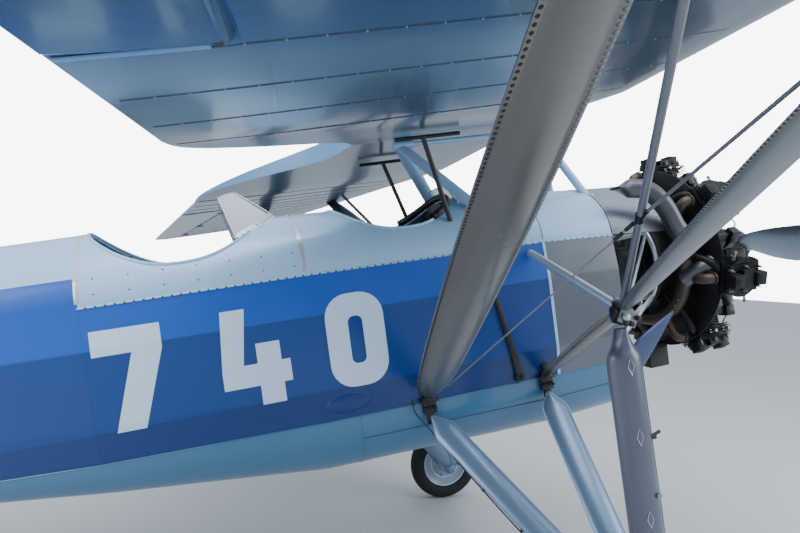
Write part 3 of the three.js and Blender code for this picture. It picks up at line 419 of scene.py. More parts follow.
@dataclass(frozen=True)
class Finish:
    """A surface finish: mottled colour, gloss, metal, coat and rippled normal."""

    name: str
    colour: tuple[float, float, float, float]
    slot: str
    roughness: float = 0.35
    metallic: float = 0.0
    coat: float = 0.0
    coat_roughness: float = 0.08
    cloud: float = 0.10
    cloud_scale: float = 2.0
    speck: float = 0.06
    gloss_spread: float = 0.10
    ripple: float = 0.0015
    ripple_scale: float = 3.0
    grain: float = 0.0001
    grain_scale: float = 320.0
    specular: float = 0.5

    def shader(self, canvas: Canvas) -> tuple[bpy.types.Node, bpy.types.NodeSocket]:
        """Lays the finish's nodes.

        Args:
            canvas: The material's tree.

        Returns:
            The surface shader's node, and the mottled colour that feeds it.
        """
        paint = canvas.node("ShaderNodeGroup", node_tree=SharedEffects.mottle())
        values = {"Color": self.colour, "Cloud Scale": self.cloud_scale, "Cloud Amount": self.cloud,
                  "Speck Amount": self.speck, "Gloss": self.roughness, "Gloss Spread": self.gloss_spread}
        for key, value in values.items():
            paint.inputs[key].default_value = value
        sheet = canvas.node("ShaderNodeGroup", node_tree=SharedEffects.ripple())
        depths = {"Ripple Scale": self.ripple_scale, "Ripple Depth": self.ripple,
                  "Grain Scale": self.grain_scale, "Grain Depth": self.grain}
        for key, value in depths.items():
            sheet.inputs[key].default_value = value
        shader = canvas.node("ShaderNodeBsdfPrincipled", {
            "Base Color": paint.outputs["Color"], "Roughness": paint.outputs["Roughness"], "Normal": sheet.outputs["Normal"],
            "Metallic": self.metallic, "Coat Weight": self.coat, "Coat Roughness": self.coat_roughness,
            "Specular IOR Level": self.specular,
        })
        canvas.node("ShaderNodeOutputMaterial", {"Surface": shader.outputs[0]})
        return shader, paint.outputs["Color"]

    def material(self) -> bpy.types.Material:
        """Returns the finish's material, built on its first use."""
        known = bpy.data.materials.get(self.name)
        if known:
            return known
        made = bpy.data.materials.new(self.name)
        made.use_nodes = True
        made.node_tree.nodes.clear()
        self.shader(Canvas(made.node_tree))
        return made


@dataclass(frozen=True)
class BandedPaint(Finish):
    """Enamel with painted light: its colour steps darker on the lower facet and brighter on the upper facet of the hull
    side, as the sky would light them.
    """

    pitch: float = 0.0
    axle_height: float = 0.0
    axle_x: float = 0.0
    edges: tuple[float, float] = (1.035, 1.351)
    # Painted light of the lower, middle and upper facets.
    shades: tuple[float, float, float] = (0.70, 1.0, 1.9)

    def shader(self, canvas: Canvas) -> tuple[bpy.types.Node, bpy.types.NodeSocket]:
        """Lays the finish and multiplies its colour by a painted light level for each facet, darker below and brighter
        above.

        Args:
            canvas: The material's tree.

        Returns:
            The surface shader's node and its colour.
        """
        shader, colour = super().shader(canvas)
        place = canvas.node("ShaderNodeTexCoord").outputs["Object"]
        level = canvas.node("ShaderNodeMapping", {
            "Vector": place, "Location": (-self.axle_x, 0, -self.axle_height)}, vector_type="POINT")
        turned = canvas.node("ShaderNodeMapping", {
            "Vector": level.outputs[0], "Rotation": (0, self.pitch, 0)}, vector_type="POINT")
        height = canvas.node("ShaderNodeSeparateXYZ", {0: turned.outputs[0]}).outputs["Z"]
        # Painted light steps up at each facet edge.
        steps = [
            canvas.node("ShaderNodeMapRange", {"Value": height, "From Min": edge - 0.002, "From Max": edge + 0.002,
                                               "To Min": 0.0, "To Max": self.shades[i + 1] - self.shades[i]})
            for i, edge in enumerate(self.edges)
        ]
        both = canvas.node("ShaderNodeMath", {0: steps[0].outputs[0], 1: steps[1].outputs[0]}, operation="ADD")
        painted_light = canvas.node("ShaderNodeMath", {0: both.outputs[0], 1: self.shades[0]}, operation="ADD")
        facet_lit = canvas.node("ShaderNodeVectorMath", {0: colour}, operation="SCALE")
        canvas.link(painted_light.outputs[0], facet_lit.inputs["Scale"])
        canvas.link(facet_lit.outputs[0], shader.inputs["Base Color"])
        return shader, facet_lit.outputs[0]


@dataclass(frozen=True)
class ClearSheet(Finish):
    """Clear moulded sheet for the windscreens, faintly blue and lightly scratched."""

    transmission: float = 1.0

    def shader(self, canvas: Canvas) -> tuple[bpy.types.Node, bpy.types.NodeSocket]:
        """Lays a thin see-through shader with a fine uneven gloss.

        Args:
            canvas: The material's tree.

        Returns:
            The surface shader's node and its colour.
        """
        shader, colour = super().shader(canvas)
        shader.inputs["Transmission Weight"].default_value = self.transmission
        shader.inputs["IOR"].default_value = 1.12
        return shader, colour


class Finishes:
    """Every finish of the aircraft, by its own name."""

    def __init__(self, datum: Datum) -> None:
        """Sets the finishes out, the hull's bands following the parked datum.

        Args:
            datum: The level datum's place in the parked frame.
        """
        # The hull's blue carries painted facet light: darker on the lower facet, brighter on the upper one.
        self.hull_blue = BandedPaint(
            "hull_blue_enamel", srgb(8, 62, 136), "blue_paint", roughness=0.34, coat=0.2, cloud=0.14, cloud_scale=1.3,
            ripple=0.004, ripple_scale=2.2, pitch=datum.pitch, axle_height=datum.axle.z, axle_x=datum.axle.x)
        self.tail_blue = Finish("tail_blue_enamel", srgb(8, 62, 136), "blue_paint", roughness=0.3, coat=0.3)
        self.belly_blue = Finish("belly_pale_enamel", srgb(62, 116, 156), "pale_blue_paint", roughness=0.3, coat=0.5, ripple=0.003)
        self.deck_silver = Finish(
            "deck_silver_blue", srgb(170, 208, 242), "silver_blue_paint", roughness=0.34, metallic=0.15, coat=0.35,
            cloud=0.12, ripple=0.0025, ripple_scale=4.0)
        self.wing_skin = Finish(
            "wing_gloss_skin", srgb(84, 112, 136), "wing_cloth", roughness=0.24, metallic=0.35, coat=0.55, coat_roughness=0.10,
            cloud=0.10, gloss_spread=0.05, ripple=0.006, ripple_scale=2.0, grain=0.00002)
        self.wing_top = Finish("wing_top_blue", srgb(120, 165, 212), "wing_cloth", roughness=0.3, coat=0.5, ripple=0.003)
        self.cowl_metal = Finish(
            "cowl_bare_sheet", srgb(150, 158, 168), "bare_metal", roughness=0.38, metallic=0.9, cloud=0.14, ripple=0.003,
            grain=0.0002, grain_scale=420)
        # A darker copy of the bare cowl sheet: painted shade for the lower cowl, which faces down.
        self.cowl_shade = Finish(
            "cowl_shaded_sheet", srgb(84, 96, 130), "bare_metal", roughness=0.42, metallic=0.85, cloud=0.2, ripple=0.003)
        # Bare sheet for the tank bay: the blotches are the metal's own random tone, and its overall darker tone is a
        # painted dark reflection.
        self.bay_metal = Finish(
            "bay_blotched_sheet", srgb(110, 116, 124), "bare_metal", roughness=0.3, metallic=0.9, cloud=0.32, ripple=0.003)
        self.strut_warm = Finish(
            "strut_warm_sheet", srgb(128, 125, 124), "steel_tube", roughness=0.28, metallic=0.85, cloud=0.2, ripple=0.003)
        self.strut_metal = Finish(
            "strut_bare_sheet", srgb(132, 137, 144), "steel_tube", roughness=0.33, metallic=0.85, cloud=0.16, cloud_scale=3.5,
            ripple=0.003, ripple_scale=5.0)
        self.gear_silver = Finish(
            "gear_silver_blue", srgb(112, 138, 168), "silver_blue_paint", roughness=0.32, metallic=0.45, coat=0.4, ripple=0.002)
        self.shock_grey = Finish("shock_leg_grey", srgb(108, 114, 128), "steel_tube", roughness=0.32, metallic=0.75, ripple=0.002)
        self.bright_tube = Finish("bright_steel_tube", srgb(200, 210, 220), "steel_tube", roughness=0.25, metallic=0.5)
        self.engine_black = Finish(
            "engine_heat_black", srgb(22, 22, 24), "black_engine", roughness=0.48, metallic=0.35, cloud=0.4, cloud_scale=9,
            speck=0.4, grain=0.0006, grain_scale=160)
        self.engine_grey = Finish("engine_cast_grey", srgb(60, 60, 62), "black_engine", roughness=0.5, metallic=0.7, grain=0.0005)
        self.pipe_burnt = Finish(
            "exhaust_burnt_steel", srgb(92, 82, 74), "burnt_pipe", roughness=0.5, metallic=0.75, cloud=0.6, cloud_scale=6, speck=0.4)
        self.stack_steel = Finish(
            "stack_greyed_steel", srgb(98, 98, 104), "burnt_pipe", roughness=0.36, metallic=0.85, cloud=0.35, cloud_scale=5)
        self.wire_grey = Finish("wire_grey_steel", srgb(150, 153, 160), "steel_tube", roughness=0.4, metallic=0.6, ripple=0.0, grain=0.0)
        self.bolt_steel = Finish("bolt_steel", srgb(150, 152, 155), "steel_tube", roughness=0.3, metallic=0.9)
        self.seam_dark = Finish("seam_shadow", srgb(70, 84, 104), "dark_panel", roughness=0.6)
        self.trim_black = Finish("trim_black", srgb(18, 18, 20), "dark_panel", roughness=0.45, coat=0.2)
        self.leather = Finish(
            "seat_leather", srgb(52, 36, 26), "leather", roughness=0.5, cloud=0.5, cloud_scale=7, grain=0.0012, grain_scale=240)
        self.padding_black = Finish("coaming_leather", srgb(26, 25, 25), "leather", roughness=0.42, grain=0.001, grain_scale=260)
        self.rubber = Finish("tyre_rubber", srgb(24, 24, 25), "tyre", roughness=0.78, cloud=0.4, cloud_scale=8, speck=0.3, grain=0.0005)
        self.wheel_enamel = Finish("wheel_pale_enamel", srgb(140, 158, 172), "wheel_paint", roughness=0.4, coat=0.2, cloud=0.2)
        self.blade_metal = Finish(
            "blade_polished", srgb(142, 156, 170), "bare_metal", roughness=0.26, metallic=0.85, ripple=0.001, cloud=0.1)
        # White paint, tinted blue as painted sky light.
        self.marking_white = Finish("marking_white", srgb(200, 226, 250), "silver_blue_paint", roughness=0.35, coat=0.3, cloud=0.05)
        self.dial_white = Finish("dial_markings", srgb(225, 225, 215), "silver_blue_paint", roughness=0.5)
        self.clear_sheet = ClearSheet(
            "windscreen_sheet", srgb(236, 242, 246), "clear_sheet", roughness=0.06, cloud=0.03, speck=0.02, ripple=0.0004)
        # A whiter, less clear copy of the windscreen sheet: painted glare, laid on the starboard panes.
        self.milky_sheet = ClearSheet(
            "windscreen_milky", srgb(235, 242, 250), "clear_sheet", roughness=0.25, transmission=0.45, cloud=0.05)
        self.brass = Finish("fitting_brass", srgb(150, 122, 70), "steel_tube", roughness=0.4, metallic=0.9, cloud=0.3)
        self.webbing = Finish("harness_webbing", srgb(96, 92, 74), "leather", roughness=0.8, cloud=0.2, grain=0.0008, grain_scale=500)
        self.cabin_green = Finish("cabin_primer", srgb(104, 116, 104), "bare_metal", roughness=0.6, cloud=0.2)


# Repeated work along lines


class LineTree(Enum):
    """The geometry trees that repeat a small shape, or run a bead, along lines."""

    HEADS = "rivet_heads"
    BEAD = "seam_bead"
    KNUCKLES = "hinge_knuckles"
    FINS = "cooling_fins"


class LineTrees:
    """Builds each tree once, with named inputs for its sizes."""

    def __init__(self) -> None:
        """Starts with no tree built."""
        self.built: dict[LineTree, bpy.types.NodeTree] = {}

    def tree(self, kind: LineTree) -> bpy.types.NodeTree:
        """Returns the tree of that kind, building it on its first use.

        Args:
            kind: Which tree.

        Returns:
            The geometry tree.
        """
        if kind not in self.built:
            maker = {LineTree.HEADS: self._heads, LineTree.BEAD: self._bead,
                     LineTree.KNUCKLES: self._knuckles, LineTree.FINS: self._fins}[kind]
            self.built[kind] = maker(kind.value)
        return self.built[kind]

    @staticmethod
    def _started(name: str, sizes: Iterable[tuple[str, float]]) -> tuple[Canvas, bpy.types.Node, bpy.types.Node]:
        """Starts a tree with its named sizes and a material input.

        Args:
            name: The tree's name.
            sizes: Name and first value of each size.

        Returns:
            The canvas, the group input, and the node that turns the lines into curves.
        """
        tree = bpy.data.node_groups.new(name, "GeometryNodeTree")
        face = tree.interface
        face.new_socket("Geometry", in_out="INPUT", socket_type="NodeSocketGeometry")
        for size, value in sizes:
            face.new_socket(size, in_out="INPUT", socket_type="NodeSocketFloat").default_value = value
        face.new_socket("Finish", in_out="INPUT", socket_type="NodeSocketMaterial")
        face.new_socket("Geometry", in_out="OUTPUT", socket_type="NodeSocketGeometry")
        canvas = Canvas(tree)
        given = canvas.node("NodeGroupInput")
        curve = canvas.node("GeometryNodeMeshToCurve", {"Mesh": given.outputs["Geometry"]})
        return canvas, given, curve

    @staticmethod
    def _ended(canvas: Canvas, given: bpy.types.Node, shape: bpy.types.NodeSocket) -> bpy.types.NodeTree:
        """Ends a tree with realized instances and the finish.

        Args:
            canvas: The tree's canvas.
            given: Its group input.
            shape: The geometry to end with.

        Returns:
            The finished tree.
        """
        real = canvas.node("GeometryNodeRealizeInstances", {"Geometry": shape})
        dressed = canvas.node("GeometryNodeSetMaterial", {"Geometry": real.outputs[0], "Material": given.outputs["Finish"]})
        canvas.node("NodeGroupOutput", {"Geometry": dressed.outputs[0]})
        return canvas.tree

    def _heads(self, name: str) -> bpy.types.NodeTree:
        """Builds round heads at even steps along each line."""
        canvas, given, curve = self._started(name, (("Spacing", 0.04), ("Head Radius", 0.003)))
        spots = canvas.node("GeometryNodeResampleCurve", {"Curve": curve.outputs[0]}, mode="LENGTH")
        canvas.link(given.outputs["Spacing"], spots.inputs["Length"])
        head = canvas.node("GeometryNodeMeshIcoSphere", {"Radius": given.outputs["Head Radius"], "Subdivisions": 2})
        rows = canvas.node("GeometryNodeInstanceOnPoints", {"Points": spots.outputs[0], "Instance": head.outputs[0]})
        return self._ended(canvas, given, rows.outputs[0])

    def _bead(self, name: str) -> bpy.types.NodeTree:
        """Builds a low round bead along each line."""
        canvas, given, curve = self._started(name, (("Bead Radius", 0.002),))
        section = canvas.node("GeometryNodeCurvePrimitiveCircle", {"Resolution": 6, "Radius": given.outputs["Bead Radius"]})
        swept = canvas.node("GeometryNodeCurveToMesh", {
            "Curve": curve.outputs[0], "Profile Curve": section.outputs[0], "Fill Caps": True})
        return self._ended(canvas, given, swept.outputs[0])

    def _knuckles(self, name: str) -> bpy.types.NodeTree:
        """Builds short barrels lying end to end along each line, as on a long hinge."""
        canvas, given, curve = self._started(name, (("Spacing", 0.06), ("Barrel Length", 0.045), ("Barrel Radius", 0.004)))
        spots = canvas.node("GeometryNodeCurveToPoints", {"Curve": curve.outputs[0]}, mode="LENGTH")
        canvas.link(given.outputs["Spacing"], spots.inputs["Length"])
        barrel = canvas.node("GeometryNodeMeshCylinder", {
            "Vertices": 8, "Radius": given.outputs["Barrel Radius"], "Depth": given.outputs["Barrel Length"]})
        rows = canvas.node("GeometryNodeInstanceOnPoints", {
            "Points": spots.outputs["Points"], "Instance": barrel.outputs[0], "Rotation": spots.outputs["Rotation"]})
        return self._ended(canvas, given, rows.outputs[0])

    def _fins(self, name: str) -> bpy.types.NodeTree:
        """Builds thin round fins stacked along each line."""
        canvas, given, curve = self._started(name, (("Spacing", 0.013), ("Fin Radius", 0.09), ("Fin Thickness", 0.003)))
        spots = canvas.node("GeometryNodeCurveToPoints", {"Curve": curve.outputs[0]}, mode="LENGTH")
        canvas.link(given.outputs["Spacing"], spots.inputs["Length"])
        fin = canvas.node("GeometryNodeMeshCylinder", {
            "Vertices": 20, "Radius": given.outputs["Fin Radius"], "Depth": given.outputs["Fin Thickness"]})
        rows = canvas.node("GeometryNodeInstanceOnPoints", {
            "Points": spots.outputs["Points"], "Instance": fin.outputs[0], "Rotation": spots.outputs["Rotation"]})
        return self._ended(canvas, given, rows.outputs[0])


class Workshop:
    """Turns surfaces and lines into dressed pieces that ride on their bodies."""

    def __init__(self, datum: Datum) -> None:
        """Keeps the datum that every piece is turned by.

        Args:
            datum: The level datum's place in the parked frame.
        """
        self.datum = datum
        self.trees = LineTrees()

    def stand(self, name: str, mesh: bpy.types.Mesh) -> bpy.types.Object:
        """Links a mesh to the scene as an object at the origin."""
        made = bpy.data.objects.new(name, mesh)
        bpy.context.scene.collection.objects.link(made)
        return made

    def evaluated(self, worker: bpy.types.Object) -> bpy.types.Mesh:
        """Reads an object's mesh with its modifiers, then removes the object.

        Args:
            worker: The object to read.

        Returns:
            A plain mesh.
        """
        graph = bpy.context.evaluated_depsgraph_get()
        graph.update()
        mesh = bpy.data.meshes.new_from_object(worker.evaluated_get(graph))
        bpy.data.objects.remove(worker)
        return mesh

    def carve(self, name: str, surface: Surface, cutters: Sequence[Surface], keep: bool = False) -> bpy.types.Mesh:
        """Cuts solids out of a surface, or keeps only what they share.

        Args:
            name: The mesh's name.
            surface: The closed shape to cut.
            cutters: The closed shapes to cut it with.
            keep: Whether to keep the shared part instead of the rest.

        Returns:
            The cut mesh in datum metres.
        """
        worker = self.stand(name + "_rough", surface.mesh(name + "_rough"))
        tools = [self.stand(f"{name}_cutter_{i}", cutter.mesh("cutter")) for i, cutter in enumerate(cutters)]
        for tool in tools:
            step = worker.modifiers.new(tool.name, "BOOLEAN")
            step.operation = "INTERSECT" if keep else "DIFFERENCE"
            step.solver = "EXACT"
            step.object = tool
        mesh = self.evaluated(worker)
        for tool in tools:
            bpy.data.objects.remove(tool)
        return mesh

    def place(
        self, name: str, shape: Surface | bpy.types.Mesh, finish: Finish, body: str = AIRFRAME,
        replaces: Sequence[str] = (), sharp: float = 32.0, bevel: float = 0.0, in_datum: bool = True,
    ) -> bpy.types.Object:
        """Turns a shape into the parked frame, dresses it and makes it ride.

        Args:
            name: The piece's name.
            shape: A surface or mesh.
            finish: Its finish.
            body: The body that carries it.
            replaces: The plain nodes that it stands for.
            sharp: The angle in degrees above which an edge stays sharp.
            bevel: The width of a rounded edge, if any.
            in_datum: Whether the shape is in datum metres.

        Returns:
            The piece.
        """
        mesh = shape.mesh(name) if isinstance(shape, Surface) else shape
        mesh.name = name
        if bevel:
            worker = self.stand(name + "_sharp", mesh)
            step = worker.modifiers.new("rounded_edges", "BEVEL")
            step.width = bevel
            step.segments = 2
            step.limit_method = "ANGLE"
            mesh = self.evaluated(worker)
        if in_datum:
            mesh.transform(self.datum.matrix)
        mesh.materials.clear()
        mesh.materials.append(finish.material())
        mesh.polygons.foreach_set("use_smooth", [True] * len(mesh.polygons))
        mesh.polygons.foreach_set("material_index", [0] * len(mesh.polygons))
        mesh.set_sharp_from_angle(angle=math.radians(sharp))
        piece = self.stand(name, mesh)
        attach(piece, body)
        if replaces:
            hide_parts(*replaces)
        LOG.info("placed %s: %d faces on %s", name, len(mesh.polygons), body)
        return piece

    def along(
        self, name: str, kind: LineTree, paths: Sequence[Sequence[Vector]], sizes: dict[str, float], finish: Finish,
        body: str = AIRFRAME, replaces: Sequence[str] = (),
    ) -> bpy.types.Object:
        """Repeats a small shape, or runs a bead, along paths.

        Args:
            name: The piece's name.
            kind: The geometry tree to use.
            paths: Lines in datum metres.
            sizes: The tree's named sizes.
            finish: The finish of what it makes.
            body: The body that carries it.
            replaces: The plain nodes that it stands for.

        Returns:
            The piece, one plain mesh.
        """
        points = [tuple(p) for path in paths for p in path]
        edges = []
        start = 0
        for path in paths:
            edges += [(start + i, start + i + 1) for i in range(len(path) - 1)]
            start += len(path)
        lines = bpy.data.meshes.new(name + "_lines")
        lines.from_pydata(points, edges, [])
        worker = self.stand(name + "_worker", lines)
        step = worker.modifiers.new(kind.value, "NODES")
        tree = self.trees.tree(kind)
        sockets = {item.name: item.identifier for item in tree.interface.items_tree if item.in_out == "INPUT"}
        step.node_group = tree
        for size, value in sizes.items():
            step[sockets[size]] = value
        step[sockets["Finish"]] = finish.material()
        mesh = self.evaluated(worker)
        return self.place(name, mesh, finish, body, replaces, sharp=50)


# Shared lines of the airframe


KEEL_FULLNESS = 0.6


def fuller(cosine: float) -> float:
    """Returns a bearing's cosine, made fuller towards the belly's corners."""
    return math.copysign(abs(cosine) ** KEEL_FULLNESS, cosine)


@dataclass(frozen=True)
class Station:
    """Heights and half-widths of the fuselage at one place along it."""

    x: float
    deck: float
    sill: float
    sill_half: float
    upper: float
    side: float
    lower: float
    band: float
    band_half: float
    belly: float

    def toward(self, other: "Station", t: float) -> "Station":
        """Returns the station a share t of the way to another."""
        mine, theirs = vars(self), vars(other)
        return Station(**{key: mix(mine[key], theirs[key], t) for key in mine})

    def crown(self, angle: float, inset: float = 0.0) -> Vector:
        """Returns a point of the rounded deck, the angle counted from the port sill.

        Args:
            angle: The bearing in radians, a right angle at the top.
            inset: How far inside the skin the point lies.

        Returns:
            The point.
        """
        rise = self.deck - self.sill - inset
        return Vector((self.x, (self.sill_half - inset) * math.cos(angle), self.sill + rise * math.sin(angle)))

    def deck_height(self, y: float) -> float:
        """Returns the deck's height at a distance from the centreline."""
        return self.sill + (self.deck - self.sill) * math.sqrt(max(0.0, 1 - (y / self.sill_half) ** 2))

    def side_width(self, z: float) -> float:
        """Returns the hull's half-width at a height between band bottom and sill."""
        rows = ((self.band, self.band_half), (self.lower, self.side), (self.upper, self.side), (self.sill, self.sill_half))
        for (z0, y0), (z1, y1) in zip(rows, rows[1:]):
            if z <= z1 or z1 == self.sill:
                return mix(y0, y1, (z - z0) / (z1 - z0))
        return self.sill_half

    def flank(self, inset: float = 0.0, floor: float | None = None, hold: float = 0.010) -> Ring:
        """Returns the port side and starboard side of the hull with tight facet creases.

        Args:
            inset: How far inside the skin the line lies.
            floor: The height of the bottom, when it isn't the band's own.
            hold: The reach of the crease's supporting points.

        Returns:
            Points from the port sill down, across and up to the starboard sill.
        """
        corners = [(self.sill_half, self.sill), (self.side, self.upper), (self.side, self.lower),
                   (self.band_half, self.band if floor is None else floor)]
        line = [corners[0]]
        for i in (1, 2):
            here = Vector(corners[i])
            for other in (corners[i - 1], corners[i + 1]):
                way = (Vector(other) - here).normalized()
                pair = [tuple(here + way * hold), tuple(here + way * hold * 0.25)]
                line += pair if other is corners[i - 1] else pair[::-1]
        line.append(corners[3])
        port = [Vector((self.x, y - inset, z)) for y, z in line]
        starboard = [Vector((p.x, -p.y, p.z)) for p in reversed(port)]
        return [*port, *starboard]

    def keel(self, drop: float = 0.0, inset: float = 0.0, steps: int = 32) -> Ring:
        """Returns the rounded belly's line from port to starboard.

        Args:
            drop: A gap left under the band.
            inset: How far inside the skin the line lies.
            steps: How many parts the line has.

        Returns:
            The points.
        """
        line = []
        for i in range(steps + 1):
            angle = math.pi * i / steps
            wide = fuller(math.cos(angle))
            depth = (self.band - self.belly - inset) * math.sin(angle)
            line.append(Vector((self.x, (self.band_half - inset) * wide, self.band - drop - depth)))
        return line


STATION_ROWS = (
    Station(0.500, 1.762, 1.505, 0.345, 1.345, 0.372, 1.030, 0.900, 0.350, 0.630),
    Station(0.120, 1.785, 1.522, 0.360, 1.350, 0.380, 1.030, 0.895, 0.360, 0.612),
    Station(-0.990, 1.797, 1.522, 0.362, 1.350, 0.380, 1.040, 0.897, 0.360, 0.628),
    Station(-1.850, 1.812, 1.515, 0.355, 1.353, 0.378, 1.060, 0.915, 0.355, 0.740),
    Station(-2.600, 1.790, 1.510, 0.318, 1.358, 0.338, 1.090, 0.945, 0.312, 0.850),
    Station(-4.750, 1.560, 1.470, 0.040, 1.400, 0.048, 1.240, 1.140, 0.040, 1.112),
)
FIREWALL_X, STRIP_X, DECK_JOINT_X, PANEL_AFT_X, _, STERNPOST_X = (row.x for row in STATION_ROWS)
BELLY_SEAM_X = -0.840
CHIN_OPENING = ((.483, .600), (.835, 1.200), (1.000, 1.200), (1.000, .600))
THRUST_Z = 1.325
WALL = 0.028


def station(x: float) -> Station:
    """Returns the fuselage station at any place along it."""
    for front, rear in zip(STATION_ROWS, STATION_ROWS[1:]):
        if x >= rear.x:
            return front.toward(rear, (x - front.x) / (rear.x - front.x))
    return STATION_ROWS[-1]


def places_between(front: float, rear: float, step: float) -> list[float]:
    """Returns even places along x from front to rear, with the stations' own among them.

    Args:
        front: The forward end.
        rear: The after end.
        step: The longest step between two of them.

    Returns:
        The places, front first.
    """
    marks = [front, *(row.x for row in STATION_ROWS if rear < row.x < front), rear]
    spots = []
    for a, b in zip(marks, marks[1:]):
        count = max(1, math.ceil((a - b) / step))
        spots += [mix(a, b, i / count) for i in range(count)]
    return [*spots, rear]


@dataclass(frozen=True)
class WingLines:
    """The half wing's planform and section; chordwise distances run aft from the leading edge."""

    half_span: float = 6.0
    root_leading: float = 0.389
    root_under: float = 2.028
    sweep: float = math.radians(8.63)
    dihedral: float = math.radians(0.4)
    incidence: float = math.radians(1.64)
    chord: float = 1.671
    thickness: float = 0.215
    root_thickness: float = 0.118
    root_rise: float = 0.100
    root_blend: float = 0.950
    aileron_inner: float = 1.745
    aileron_outer: float = 5.240
    hinge_chord: float = 1.385
    axis_lift: float = 0.034
    upper: tuple = ((0, .34), (.006, .46), (.02, .58), (.07, .79), (.18, .96), (.33, 1), (.55, .8), (.78, .42), (1, .045))
    lower: tuple = ((1, .01), (.829, 0), (.6, 0), (.3, 0), (.1, .01), (.025, .1), (.006, .22))
    tip: tuple = ((5.25, 1), (5.45, .965), (5.6, .9), (5.74, .82), (5.85, .7), (5.92, .59), (5.96, .5), (5.985, .4), (6.0, .3))

    def point(self, y: float, aft: float, lift: float = 0.0) -> Vector:
        """Returns a point a distance aft of the leading edge and above the underside.

        Args:
            y: Distance out from the centreline, to port.
            aft: Chordwise distance.
            lift: Height above the underside.

        Returns:
            The point.
        """
        blend = max(0.0, 1 - y / self.root_blend)
        x = self.root_leading - y * math.tan(self.sweep) - aft
        z = self.root_under + y * math.tan(self.dihedral) + self.root_rise * blend - aft * math.tan(self.incidence)
        return Vector((x, y, z + lift))

    def tall(self, y: float) -> float:
        """Returns the section's greatest height at a span station."""
        return mix(self.thickness, self.root_thickness, max(0.0, 1 - y / self.root_blend))

    def height(self, part: float, top: bool) -> float:
        """Returns the section's height share at a share of the chord.

        Args:
            part: Share of the chord.
            top: Whether the upper side is meant.

        Returns:
            Height as a share of the section's greatest.
        """
        rows = self.upper if top else tuple(reversed(self.lower))
        for (p0, h0), (p1, h1) in zip(rows, rows[1:]):
            if part <= p1:
                return mix(h0, h1, (part - p0) / (p1 - p0))
        return rows[-1][1]

    def section(self, y: float, scale: float = 1.0, steps: int = 3) -> Ring:
        """Returns the smooth closed section at a span station.

        Args:
            y: Distance out from the centreline.
            scale: The chord's share of the full chord.
            steps: How finely each stretch of the outline is divided.

        Returns:
            The outline, upper side first.
        """
        top = arc_path([(part, h, 0) for part, h in self.upper], steps)
        under = arc_path([(part, max(h, 0), 0) for part, h in self.lower], steps)
        front = (self.chord - self.chord * scale) * 0.45
        ring = []
        for part, high, _ in [tuple(p) for p in (*top, *under)]:
            aft = self.chord * scale * part
            spot = self.point(y, aft)
            ring.append(Vector((spot.x - front, y, spot.z + self.tall(y) * scale * max(high, 0.0))))
        return ring

    def hinge(self, y: float) -> Vector:
        """Returns the aileron's hinge line at a span station."""
        return self.point(y, self.hinge_chord, self.axis_lift)


WING = WingLines()


def on_side(point: Sequence[float], side: Side) -> Vector:
    """Carries a port-side point to the given side."""
    return Vector((point[0], point[1] * side.value, point[2]))


def frame_along(start: Vector, end: Vector, across: Vector) -> tuple[Vector, Vector, Vector]:
    """Returns three axes of a strut: along it, along its chord and through its thickness.

    Args:
        start: One end.
        end: The other end.
        across: The direction that the chord follows.

    Returns:
        The axes.
    """
    ahead = (end - start).normalized()
    chordwise = (across - ahead * across.dot(ahead)).normalized()
    return ahead, chordwise, ahead.cross(chordwise)


EVEN_PLAN = ((0, .5), (.05, .68), (.12, .88), (.2, .98), (.3, 1), (.7, 1), (.8, .98), (.88, .88), (.95, .68), (1, .5))
FULL_PLAN = ((0, .8), (.06, .92), (.15, 1), (.85, 1), (.94, .92), (1, .8))
FORE_PLAN = ((0, .4), (.1, .66), (.28, .84), (.45, .98), (.65, 1), (.85, .85), (1, .55))
AFT_PLAN = ((0, .5), (.1, .9), (.3, 1), (.5, 1), (.68, .93), (.84, .76), (1, .55))
LEG_PLAN = ((0, .12), (.03, .52), (.06, .92), (.08, 1), (.7, 1), (.88, .88), (1, .5))
SHOCK_PLAN = ((0, .34), (.05, .58), (.09, .94), (.13, 1), (.2, 1), (.8, 1), (.93, .9), (1, .6))


def lens(chord: float, thickness: float, flange: float, steps: int = 12) -> list[tuple[float, float]]:
    """Returns a lens-shaped strut section with a thin flange at each edge.

    Args:
        chord: The width over the flanges.
        thickness: The greatest thickness.
        flange: The width of each flange.
        steps: How many points each half has.

    Returns:
        Chordwise and thickness distances, once round.
    """
    thin = 0.0016
    body = chord / 2 - flange
    half = []
    for i in range(steps + 1):
        u = math.cos(math.pi * i / steps)
        bulge = (1 - u * u) ** 0.62 * (1 + 0.18 * u)
        half.append((u * body, max(thin, thickness / 2 * bulge)))
    top = [(chord / 2, thin), *half, (-chord / 2, thin)]
    return [*top, *((u, -v) for u, v in reversed(top))]


def strut(
    surface: Surface, start: Vector, end: Vector, chord: float, thickness: float, plan: Sequence = EVEN_PLAN,
    flange: float = 0.008, across: Vector = Vector((1, 0, 0)), bends: int = 5, least: float = 0.8,
) -> list[list[Vector]]:
    """Adds a faired strut whose chord narrows towards both ends.

    Args:
        surface: The surface that receives it.
        start: One end.
        end: The other end.
        chord: Full width.
        thickness: Full thickness.
        plan: The chord's share at shares of the length.
        flange: The width of the flange along each edge.
        across: The direction that the chord follows.
        bends: How many steps lie between two rows of the plan; one keeps it straight.
        least: The least share of the thickness, at the narrow ends.

    Returns:
        The middle lines of the two flanges on the outer face.
    """
    ahead, chordwise, through = frame_along(start, end, across)
    length = (end - start).length
    rings, edges = [], [[], []]
    for along, width, _ in arc_path([(part * length, share * chord, 0) for part, share in plan], bends):
        middle = start.lerp(end, along / length)
        outline = lens(width, thickness * max(width / chord, least), flange)
        rings.append([middle + chordwise * u + through * v for u, v in outline])
        for edge, sign in zip(edges, (1, -1)):
            edge.append(middle + chordwise * sign * (width / 2 - flange * 0.5))
    surface.loft(rings)
    return edges


# Fuselage


